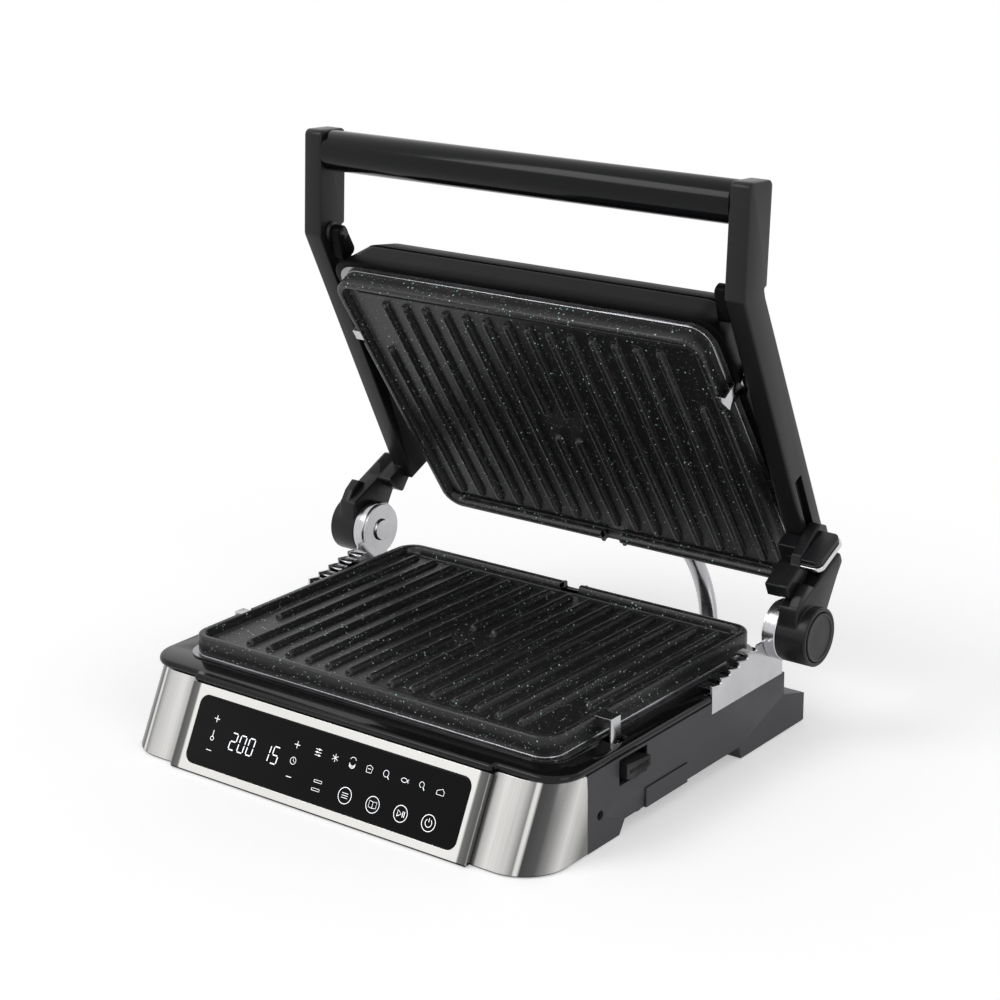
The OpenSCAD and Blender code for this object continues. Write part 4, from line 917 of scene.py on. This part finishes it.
def rib_row_tree():
    inputs = [("Rib", "Object"), ("Count", "Int"), ("Pitch", "Float"), ("Middle", "Float")]
    tree, start, put = placing_tree("rib_row", inputs)
    places = tree.nodes.new("GeometryNodeMeshLine")
    rib = tree.nodes.new("GeometryNodeObjectInfo")
    step = tree.nodes.new("ShaderNodeCombineXYZ")
    first = tree.nodes.new("ShaderNodeCombineXYZ")
    gaps = tree.nodes.new("ShaderNodeMath")
    gaps.operation = "SUBTRACT"
    gaps.inputs[1].default_value = 1.0
    half = tree.nodes.new("ShaderNodeMath")
    half.operation = "MULTIPLY"
    back = tree.nodes.new("ShaderNodeMath")
    back.operation = "MULTIPLY_ADD"
    back.inputs[1].default_value = -0.5
    for a, b in ((start.outputs["Count"], gaps.inputs[0]), (gaps.outputs[0], half.inputs[0]),
                 (start.outputs["Pitch"], half.inputs[1]), (half.outputs[0], back.inputs[0]),
                 (start.outputs["Middle"], back.inputs[2]), (back.outputs[0], first.inputs["X"]),
                 (start.outputs["Pitch"], step.inputs["X"]),
                 (start.outputs["Count"], places.inputs["Count"]),
                 (first.outputs[0], places.inputs["Start Location"]),
                 (step.outputs[0], places.inputs["Offset"]), (start.outputs["Rib"], rib.inputs["Object"]),
                 (places.outputs["Mesh"], put.inputs["Points"]),
                 (rib.outputs["Geometry"], put.inputs["Instance"])):
        tree.links.new(a, b)
    return tree


def grown(tree, values):
    """The plain mesh that a node tree makes from named input values."""
    holder = put_in_scene("grown", bpy.data.meshes.new("grown"))
    modifier = holder.modifiers.new("grow", "NODES")
    modifier.node_group = tree
    for item in tree.interface.items_tree:
        if item.in_out == "INPUT" and item.name in values:
            modifier[item.identifier] = values[item.name]
    return baked(holder)


rib_tree = rib_row_tree()
print("rib row", len(rib_tree.nodes), "nodes")

# %% Ribs
RIB_HALF_SECTION = [(3.05, -0.4), (2.8, 0.5), (2.25, 1.9), (1.75, 2.8), (1.1, 3.35), (0.4, 3.58)]
# distance in from the end, and how full the rib is there
RIB_END = [(0, 0.3), (0.35, 0.58), (0.9, 0.78), (1.8, 0.93), (3.2, 1.0)]
RIB_START = -84
RIB_STOP = 108
RIB_PITCH = 16.8


def rib_object(y0, y1):
    section = RIB_HALF_SECTION + [(-x, z) for x, z in reversed(RIB_HALF_SECTION)]
    stations = [(y0 + d, f) for d, f in RIB_END] + [(y1 - d, f) for d, f in reversed(RIB_END)]
    rings = []
    for y, f in stations:
        rings.append([Vector((x * (0.45 + 0.55 * f), y, z * f - FACE_DROP)) for x, z in section])
    return bpy.data.objects.new("rib", loft(rings))


def all_ribs():
    middle = 4 * RIB_PITCH
    rows = [(RIB_START, RIB_STOP, 6, RIB_PITCH, -middle), (RIB_START, RIB_STOP, 6, RIB_PITCH, middle),
            (CATCH_Y + 12, RIB_STOP, 2, 15 * RIB_PITCH, 0), (RIB_START, 0.5, 2, RIB_PITCH, 0),
            (20.5, RIB_STOP, 2, RIB_PITCH, 0)]
    made = []
    for y0, y1, count, pitch, centre in rows:
        rib = rib_object(y0, y1)
        values = {"Rib": rib, "Count": count, "Pitch": float(pitch), "Middle": float(centre),
                  "Finish": NONSTICK}
        made.append(grown(rib_tree, values))
        bpy.data.objects.remove(rib)
    return made


plate = joined([plate_tray()] + all_ribs())
print("plate", len(plate.polygons), "faces")

# %% [markdown]
# ## Both plates in place
# The same casting serves twice: as it is in the base, and as its mirror image in the lid. Under its edge a
# thin bright lip of the reflector shows, which is a ring through the same rounded rectangles. One mesh for
# both keeps them alike.

# %% Plates in place
LOWER_PLATE_POSE = Matrix.Translation((0, 0, 69.4))
UPPER_PLATE_POSE = LID_POSE @ Matrix.Translation((0, 0, 70)) @ Matrix.Scale(-1, 4, (0, 0, 1))
# height below the rim, and distance in from the plate's outer edge
LIP_SECTION = [(-13.5, 3.0), (-13.5, 0.35), (-12.6, 0.35), (-12.6, 3.0)]


def fit_both(mesh, name, node, **look):
    """One mesh for the base, and its mirror image for the lid."""
    upper = mesh.copy()
    upper.flip_normals()
    fit("lower_" + name, mesh, "lower_" + node, LOWER_PLATE_POSE, **look)
    fit("upper_" + name, upper, "upper_" + node, UPPER_PLATE_POSE, **look)


fit_both(plate, "plate_cast", "plate", crease=50)
fit_both(loft([plate_ring(z, inset) for z, inset in LIP_SECTION], closed=True),
         "reflector_lip", "reflector", finish=CHROME_TRIM)

# %% [markdown]
# ## Side arms
# Each arm is a flat bar with a kink: the long part carries the lid, the short part rises to the grip.
# It is moulded, so all its edges are soft. Its outline is drawn in the plane of the arm, with the lid shut,
# and one turn about the hinge opens it. The neck and the barrel at the hinge are joined on outside it.

# %% Arm outlines
KINK = Vector((-118.6, 89.8))
ARM_SLOPE = math.radians(6.5)
HANDLE_RISE = math.radians(158)
ARM_IN = 159
ARM_OUT = 173.3
BARREL_IN = 175.2
NECK_OUT = 189.5
BARREL_OUT = 196.5


def arm_at(along, up):
    return (KINK.x + along * math.cos(ARM_SLOPE) - up * math.sin(ARM_SLOPE),
            KINK.y + along * math.sin(ARM_SLOPE) + up * math.cos(ARM_SLOPE))


def handle_at(along, up):
    return (KINK.x + along * math.cos(HANDLE_RISE) + up * math.sin(HANDLE_RISE),
            KINK.y + along * math.sin(HANDLE_RISE) - up * math.cos(HANDLE_RISE))


def along_arm(points):
    return [arm_at(*p) for p in points]


ARM_CORNERS = along_arm([(0, 0), (214, 0), (214, 21.5), (12, 21.5), (6, 22.5)])
ARM_CORNERS += [handle_at(6, 25.5), handle_at(70, 25.5), handle_at(70, 0)]
ARM_OUTLINE = rounded(ARM_CORNERS, [7, 1.5, 1.5, 8, 3, 3, 4, 4])
NECK = rounded(along_arm([(204, 12), (212, 12), (217, 3), (228.6, -14.2), (243, -29), (230.6, -39.7),
                          (216, -51.5), (204, -45), (204, -20)]), 2.6)
SHOULDER = rounded(along_arm([(204, 12), (212, 12), (217, 3), (222, -7), (212, -14), (204, -16)]), 2.2)
CHEEK = rounded(along_arm([(206, -21.5), (198.3, -27.6), (200.2, -37.1), (205.5, -46), (208, -40)]), 1.6)
SLOT = rounded(along_arm([(143.5, 4.4), (194.5, 4.4), (194.5, 12.4), (143.5, 12.4)]), 1)
BARREL = [(BARREL_IN, 5.05), (BARREL_IN, 19.2), (BARREL_OUT, 19.2), (BARREL_OUT, 16.25), (184.5, 16.25),
          (184.5, 5.05)]


def arm_mesh(with_slot):
    bar = side_cut([ARM_OUTLINE], ARM_IN, ARM_OUT, 1.3)
    if with_slot:
        bar = carved(bar, [side_cut([SLOT], ARM_OUT - 5, ARM_OUT + 2, 0.4)])
    parts = [bar, side_cut([SHOULDER], ARM_OUT - 8, NECK_OUT - 1.5, 0.8),
             side_cut([NECK], BARREL_IN + 0.3, NECK_OUT, 1.2), side_cut([CHEEK], 182, NECK_OUT - 0.4, 0.6),
             turned_piece(BARREL, HINGE, 1.0)]
    return joined(parts)


fit("right_arm_moulding", arm_mesh(True), "arm_right", ARMS_POSE)
fit("left_arm_moulding", mirrored(arm_mesh(False)), "arm_left", ARMS_POSE)

# %% [markdown]
# ## Grip, knobs and discs
# These are all turned shapes. The grip is a gloss black tube between the arms. The right knob is the lock
# button, a cap with a raised ring that sinks into the barrel, and the left one is a plain cap of the same
# form. Between each barrel and its bracket sits a bright steel disc.

# %% Turned pieces
GRIP = Vector((0, *handle_at(56, 12.75)))
GRIP_PROFILE = [(-ARM_IN, 4.05), (-ARM_IN, 13.5), (ARM_IN, 13.5), (ARM_IN, 4.05)]
fit("grip_tube", turned_piece(GRIP_PROFILE, GRIP, 0.7, 96), "grip_bar", ARMS_POSE, GRIP_BLACK)
KNOB_FACE = 196.9
KNOB_PROFILE = [(194.7, 0), (194.7, 12), (192.7, 12), (192.7, 15.85), (KNOB_FACE, 15.85), (KNOB_FACE, 14.2),
                (196.2, 13.9), (196.4, 6), (196.45, 0)]
fit("lock_knob", turned_piece(KNOB_PROFILE, HINGE, 0.5, 96), "push_button", ARMS_POSE)
CAP_PROFILE = [(188.5, 0), (188.5, 9), (184.5, 9), (184.5, 16.2), (KNOB_FACE, 16.2), (KNOB_FACE, 14.4),
               (196.2, 14.1), (196.4, 6), (196.45, 0)]
fit("left_knob", mirrored(turned_piece(CAP_PROFILE, HINGE, 0.5, 96)), "left_hinge_cap", ARMS_POSE)
DISC_PROFILE = [(166.4, 5.0), (166.4, 19.5), (174.9, 19.5), (174.9, 5.0)]
RIVET_PROFILE = [(163.4, 0), (163.4, 6.8), (164.1, 7.9), (164.9, 8), (164.9, 4.98), (187.5, 4.98),
                 (187.5, 0)]
rivet = turned_piece(RIVET_PROFILE, HINGE, 0.3, 64)
disc = turned_piece(DISC_PROFILE, HINGE, 0.9, 96)
for mesh, name, node in ((rivet, "hinge_rivet", "hinge_pin_"), (disc, "disc", "hinge_disc_")):
    fit("right_" + name, mesh.copy(), node + "right")
    fit("left_" + name, mirrored(mesh), node + "left")

# %% [markdown]
# ## Height slider
# A black block on the right arm slides along the slot, and its foot rests on one of the bracket's steps to
# hold the lid at a height. Its finger grip is a small paddle with a bright steel edge.

# %% Slider
SLIDER_AT = 190
SLIDER_IN = 173.6
PADDLE_X = 181.6


def slider_part(x0, x1, points, corner, round_by):
    outline = rounded([arm_at(SLIDER_AT + s, up) for s, up in points], corner)
    return side_cut([outline], x0, x1, round_by, ARMS_POSE)


SLIDER_FACE = [(2, -40), (11.7, -40), (13, -21.5), (9.5, -13), (9.5, 9), (7, 15), (-4, 15), (-10.5, 9),
               (-8, -6), (-5.5, -17.5), (-0.5, -21.5)]
SLIDER_FOOT = [(2, -40), (11.7, -40), (11.7, -12), (2.5, -12), (-0.5, -21.5)]
SLIDER_BRIDGE = [(-6, -12.2), (11.7, -12.2), (9, -0.3), (-6, -0.3)]
SLIDER_TONGUE = [(-4, 4.7), (4, 4.7), (4, 12.1), (-4, 12.1)]
slider_parts = [slider_part(SLIDER_IN, PADDLE_X, SLIDER_FACE, 1.6, 0.9)]
for x0, points in ((165.2, SLIDER_FOOT), (160.5, SLIDER_BRIDGE), (168.8, SLIDER_TONGUE)):
    slider_parts.append(slider_part(x0, SLIDER_IN + 1, points, 0.8, 0.4))
fit("slider_block", joined(slider_parts), "slider_body")


def paddle(low, high, grow, round_by):
    """A flat finger piece across the arm, from low to high along it."""
    x1 = PADDLE_X + 14 + grow
    outline = rounded([(PADDLE_X, -21 - grow), (x1, -21 - grow), (x1, 8 + grow), (PADDLE_X, 8 + grow)],
                      [0.5, 4 + grow, 4 + grow, 0.5])
    spot = Matrix.Translation((0, *arm_at(SLIDER_AT, 0))) @ Matrix.Rotation(ARM_SLOPE, 4, "X")
    pose = ARMS_POSE @ spot @ Matrix.Rotation(math.pi / 2, 4, "X")
    return cut_piece([outline], -high, -low, round_by, pose)


fit("slider_paddle", paddle(-6, -1.5, 0, 0.9), "slider_grip")
fit("slider_edge", paddle(-1.5, 1.5, 1.2, 0.5), "slider_trim")

# %% [markdown]
# ## Lid
# The lid's shell is one moulding that leans in towards a steel cover. It is drawn as a skin through rounded
# rectangles, outside and inside in one closed section, so it has a true wall thickness and a soft rim.

# %% Lid shell and cover
LID_HALF = 154
LID_FRONT = -108
LID_BACK = 127.5
# height with the lid shut, and distance in from the rim
SHELL_SECTION = [(83.9, 0.7), (84.3, 0.15), (85, 0.1), (94, 2.9), (104.6, 6.0), (106.3, 6.5), (107.4, 7.1),
                 (108, 8.2), (108, 16.2), (107.6, 17), (105, 17), (105, 10.4), (104, 9.8), (83.9, 4)]
BAND_SECTION = [(108.1, 7.9), (108.3, 7.2), (109, 7.2), (120.6, 15.6), (121.8, 16.7), (122.7, 18.4),
                (124, 22.4), (123.7, 23.1), (121, 22.6), (120, 18.9), (108.4, 9.2)]
COVER_SECTION = [(121.4, 30), (121.4, 23.9), (123.7, 23.5), (124.3, 24), (125.2, 26.6), (125.8, 28.2),
                 (126, 30), (126, 40)]


LID_CREASE = 40
CATCH_X = 152.5


def lid_ring(z, inset):
    corner = 18 - inset / 3
    outline = oblong(-LID_HALF + inset, LID_HALF - inset, LID_FRONT + inset, LID_BACK - inset, corner, 12)
    return at_height(outline, z)


catch_cuts = [block(x - 6.5, x + 6.5, CATCH_Y - EAR, CATCH_Y + EAR, 80, 103) for x in (-CATCH_X, CATCH_X)]
shell = carved(loft([lid_ring(*s) for s in SHELL_SECTION], closed=True), catch_cuts)
LUG = rounded([(-121, 97.5), (-98, 90), (-98, 104.5), (-121, 106)], 4)
lug = side_cut([LUG], 148, 156.4, 0.8)
shell_parts = [shell, lug, mirrored(lug)]
for y in (CATCH_Y - EAR - 3, CATCH_Y + EAR):
    shell_parts.append(block(145.7, 151, y, y + 3, 87.4, 95.9))
fit("lid_shell", joined(shell_parts), "lid_housing", LID_POSE, LID_BLACK, LID_CREASE)
band = loft([lid_ring(*s) for s in BAND_SECTION], closed=True)
fit("lid_band", band, "lid_cover", LID_POSE, LID_BLACK, LID_CREASE)
cover = loft([lid_ring(*s) for s in COVER_SECTION])
fit("lid_steel_cover", cover, "lid_cover", LID_POSE, COVER_STEEL, LID_CREASE)

# %% [markdown]
# ## Steel conduit
# A bent steel conduit takes the wires from the base to the lid. It stands straight out of each gland for
# one diameter, and runs in one smooth curve between. When the lid moves, three joints move with it, so the
# conduit is three lengths that meet end to end, and each one bends across one joint. Where they meet
# matters: the cuts here give the mildest sharpest bend with the lid shut, out of every pair that was
# computed.

# %% Conduit
CONDUIT_RADIUS = 6
BASE_END = Vector((96, 138.369, 28.497))
LID_END = Vector((30, 194.391, 95.824))
BASE_LEAN = math.radians(15.89)
LID_LEAN = math.radians(-41.1)
BASE_WAY = Vector((0, math.sin(BASE_LEAN), math.cos(BASE_LEAN)))
LID_WAY = Vector((0, math.cos(LID_LEAN), math.sin(LID_LEAN)))
STRAIGHT = 2 * CONDUIT_RADIUS
BEND_A = BASE_END + STRAIGHT * BASE_WAY
BEND_B = LID_END + STRAIGHT * LID_WAY
PULL = 0.32 * (BEND_B - BEND_A).length
CUTS = [0, 6, 16, 20]
SIDES = 40


def conduit_middle(s):
    """Middle of the conduit; s runs from 0 at the base to 20 at the lid."""
    if s <= 1:
        return BASE_END.lerp(BEND_A, s)
    if s >= 19:
        return BEND_B.lerp(LID_END, s - 19)
    t = (s - 1) / 18
    return ((1 - t) ** 3 * BEND_A + 3 * (1 - t) ** 2 * t * (BEND_A + PULL * BASE_WAY)
            + 3 * (1 - t) * t * t * (BEND_B + PULL * LID_WAY) + t ** 3 * BEND_B)


def conduit_ring(s):
    step = 0.01
    way = (conduit_middle(min(s + step, 20)) - conduit_middle(max(s - step, 0))).normalized()
    across = way.cross(Vector((1, 0, 0))).normalized()
    over = way.cross(across)
    angles = [math.tau * i / SIDES for i in range(SIDES)]
    return [conduit_middle(s) + CONDUIT_RADIUS * (math.cos(a) * across + math.sin(a) * over) for a in angles]


def conduit_length(name, node, first, last, body_a, body_b):
    count = (last - first) * 3
    rings = [conduit_ring(first + (last - first) * i / count) for i in range(count + 1)]
    mesh = loft(rings)
    piece = smoothed(name, mesh, CONDUIT_STEEL)
    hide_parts(node)
    start = conduit_middle(first + (0.3 if first == 0 else 0)) * MM
    end = conduit_middle(last - (0.3 if last == 20 else 0)) * MM
    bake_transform(piece, body_a, body_b, start=tuple(start), end=tuple(end))
    print(name, len(mesh.polygons), "faces")


conduit_length("conduit_from_base", "conduit_base", CUTS[0], CUTS[1], "base", "arms")
conduit_length("conduit_between", "conduit_middle", CUTS[1], CUTS[2], "arms", "leveller")
conduit_length("conduit_to_lid", "conduit_lid", CUTS[2], CUTS[3], "leveller", "lid")

# %% [markdown]
# ## Screws by Geometry Nodes
# Screws hold the bottom, the brackets and the lid's cover. One screw is drawn with its crossed recess,
# and a node tree puts it at every vertex of a set of points. Drawing one and placing it many times keeps all
# of them alike, and a change to the head changes every screw.

# %% Screws
def screw_tree():
    tree, start, put = placing_tree("screw_set", [("Screw", "Object"), ("Places", "Object")])
    for socket, target in (("Screw", "Instance"), ("Places", "Points")):
        source = tree.nodes.new("GeometryNodeObjectInfo")
        tree.links.new(start.outputs[socket], source.inputs["Object"])
        tree.links.new(source.outputs["Geometry"], put.inputs[target])
    return tree


SCREW_TREE = screw_tree()


def screw_mesh(head_radius, head_height, shank_radius, shank_length):
    """A screw along X: its head on the -X side of the seat at 0, with a crossed recess."""
    profile = [(-head_height, 0), (-head_height, head_radius * 0.75), (-head_height * 0.45, head_radius),
               (0, head_radius), (0, shank_radius), (shank_length - 1, shank_radius), (shank_length, 0)]
    body = turned_piece(profile, Vector((0, 0, 0)), 0.15, 28)
    reach = head_radius * 0.55
    arms = [block(-head_height - 1, -head_height * 0.35, -reach, reach, -0.4, 0.4, 0.1),
            block(-head_height - 1, -head_height * 0.35, -0.4, 0.4, -reach, reach, 0.1)]
    return carved(body, arms)


def screw_set(mesh, turn, places):
    """The screw, turned, at every place."""
    screw = mesh.copy()
    screw.transform(turn)
    screw_object = bpy.data.objects.new("screw", screw)
    spots = bpy.data.meshes.new("places")
    spots.from_pydata(places, [], [])
    place_object = bpy.data.objects.new("places", spots)
    finish = FINISHES[SLOT_OF["base_screws"]]
    made = grown(SCREW_TREE, {"Screw": screw_object, "Places": place_object, "Finish": finish})
    bpy.data.objects.remove(screw_object)
    bpy.data.objects.remove(place_object)
    return made


UPRIGHT = Matrix.Rotation(math.radians(-90), 4, "Y")
LEFTWARD = Matrix.Rotation(math.pi, 4, "Z")
BRACKET_ROW = (50, 78, 106)
base_set = screw_set(screw_mesh(3.7, 1.0, 2.0, 9), UPRIGHT,
                     [(-126, -106, 1.9), (126, -106, 1.9), (-60, 136, 3), (60, 136, 3)])
fit("bottom_screws", base_set, "base_screws")
bracket_screw = screw_mesh(3.75, 2.4, 2.0, 3.3)
right_set = screw_set(bracket_screw, BASE_POSE, [(162, y, 34) for y in BRACKET_ROW])
left_set = screw_set(bracket_screw, LEFTWARD, [(-162, y, 34) for y in BRACKET_ROW])
fit("bracket_screw_set", joined([right_set, left_set]), "bracket_screws")
lid_set = screw_set(screw_mesh(3.2, 2.4, 1.7, 6.6), UPRIGHT,
                    [(x, y, 105) for x in (-140.5, 140.5) for y in (-77.5, 98.5)])
fit("lid_screw_set", lid_set, "lid_screws", LID_POSE)

# %% [markdown]
# ## Pieces whose CAD form is right
# Pressed sheet, brackets, catches, the tub and the drip tray need no new form. Their skins are welded and
# smoothed, and their finishes soften the edges in the shading. Pieces that are hidden inside keep
# the CAD node itself, with its new finish.

# %% Dressed CAD skins
DRESSED = ["base_tub", "bottom_pan", "rubber_feet", "front_panel", "corner_wrap_right", "corner_wrap_left",
           "mains_gland", "lower_reflector", "lower_fixed_tab", "hinge_bracket_right", "hinge_bracket_left",
           "conduit_gland", "drip_tray", "lower_catch_hook", "lower_catch_button", "upper_catch_hook",
           "upper_catch_button", "upper_fixed_tab", "upper_reflector", "float_pins", "lid_gland"]
OWN_FINISH = {"front_panel": PANEL_STEEL, "corner_wrap_right": WRAP_STEEL, "corner_wrap_left": WRAP_STEEL,
              "float_pins": SATIN_BLACK}
for node in DRESSED:
    dressed(node, OWN_FINISH.get(node))

# %% Finishes of the nodes that stay
for node, cad_object in frame["nodes"].items():
    if not cad_object.hide_render:
        for slot in cad_object.material_slots:
            slot.material = FINISHES[SLOT_OF[node]]
        print(node, "keeps its form, finish", SLOT_OF[node])

# %% [markdown]
# ## Room and light
# A product photograph on white is lit by large soft lamps, and everything around is white card. A white
# world that only the camera, mirror-like and see-through rays meet gives that background without adding
# light, and a dimmer one lights the object. The floor is pale and keeps a soft shadow. For the camera and
# in mirrors it glows a little, and further out it fades to plain white, so that no horizon shows.

# %% Floor and world
FLOOR_REACH = 30
FLOOR_GLOW = 0.38
FLOOR_NEAR = 0.28
FLOOR_FADE = 0.35
WORLD_LIGHT = 0.5


def room_floor():
    mesh = bpy.data.meshes.new("floor")
    corners = [(x * FLOOR_REACH, y * FLOOR_REACH, 0) for x, y in ((-1, -1), (1, -1), (1, 1), (-1, 1))]
    mesh.from_pydata(corners, [], [(0, 1, 2, 3)])
    paint = Paint("floor")
    tone = paint.noise(3.0, 2.0)
    paint.done(paint.blend(tone, (0.8, 0.8, 0.8), (0.83, 0.83, 0.83)), 0.9)
    seen = paint.add("LightPath")
    glow = paint.add("Emission", {}, {"Color": (1, 1, 1), "Strength": FLOOR_GLOW})["Emission"]
    lit = Wire(paint, paint.shader.outputs["BSDF"])
    both = paint.add("AddShader", {}, {0: lit, 1: glow})["Shader"]
    looked_at = seen["Is Camera Ray"].maths("MAXIMUM", seen["Is Camera Ray"], seen["Is Glossy Ray"])
    near = paint.add("MixShader", {}, {0: looked_at, 1: lit, 2: both})["Shader"]
    plain_white = paint.add("Emission", {}, {"Color": (1, 1, 1), "Strength": 1.0})["Emission"]
    away = paint.add("VectorMath", {"operation": "LENGTH"}, {0: paint.add("TexCoord")["Object"]})["Value"]
    fade = (away - FLOOR_NEAR) * (1 / FLOOR_FADE) * looked_at
    faded = paint.add("MixShader", {}, {0: fade, 1: near, 2: plain_white})["Shader"]
    paint.put(paint.tree.nodes["Material Output"].inputs["Surface"], faded)
    mesh.materials.append(paint.material)
    put_in_scene("floor", mesh)


room_floor()
world = bpy.data.worlds.new("room")
bpy.context.scene.world = world
world.use_nodes = True
nodes = world.node_tree.nodes
nodes.clear()
links = world.node_tree.links
path = nodes.new("ShaderNodeLightPath")
white, dim = (nodes.new("ShaderNodeBackground") for _ in range(2))
for background, strength in ((white, 1.0), (dim, WORLD_LIGHT)):
    background.inputs["Color"].default_value = (1, 1, 1, 1)
    background.inputs["Strength"].default_value = strength
seen_by, through = (nodes.new("ShaderNodeMath") for _ in range(2))
seen_by.operation = "MAXIMUM"
through.operation = "MAXIMUM"
mix = nodes.new("ShaderNodeMixShader")
out = nodes.new("ShaderNodeOutputWorld")
for a, b in ((path.outputs["Is Camera Ray"], seen_by.inputs[0]),
             (path.outputs["Is Glossy Ray"], seen_by.inputs[1]), (seen_by.outputs[0], through.inputs[0]),
             (path.outputs["Is Transmission Ray"], through.inputs[1]), (through.outputs[0], mix.inputs[0]),
             (dim.outputs[0], mix.inputs[1]),
             (white.outputs[0], mix.inputs[2]), (mix.outputs[0], out.inputs["Surface"])):
    links.new(a, b)
print("world light", WORLD_LIGHT)


# %% Lamps
def soft_lamp(name, spot, aim, size, power):
    lamp = bpy.data.lights.new(name, "AREA")
    lamp.shape = "RECTANGLE"
    lamp.size, lamp.size_y = size
    lamp.energy = power
    way = Vector(aim) - Vector(spot)
    turn = way.to_track_quat("-Z", "Y").to_matrix().to_4x4()
    put_in_scene(name, lamp).matrix_world = Matrix.Translation(spot) @ turn


CENTRE = (0, 0, 0.15)
soft_lamp("key", (-0.9, -1.3, 1.7), CENTRE, (1.2, 0.9), 14)
soft_lamp("fill", (1.9, -0.7, 0.9), CENTRE, (0.9, 1.2), 6)
soft_lamp("back", (0.5, 1.6, 1.5), CENTRE, (1.4, 0.8), 3)
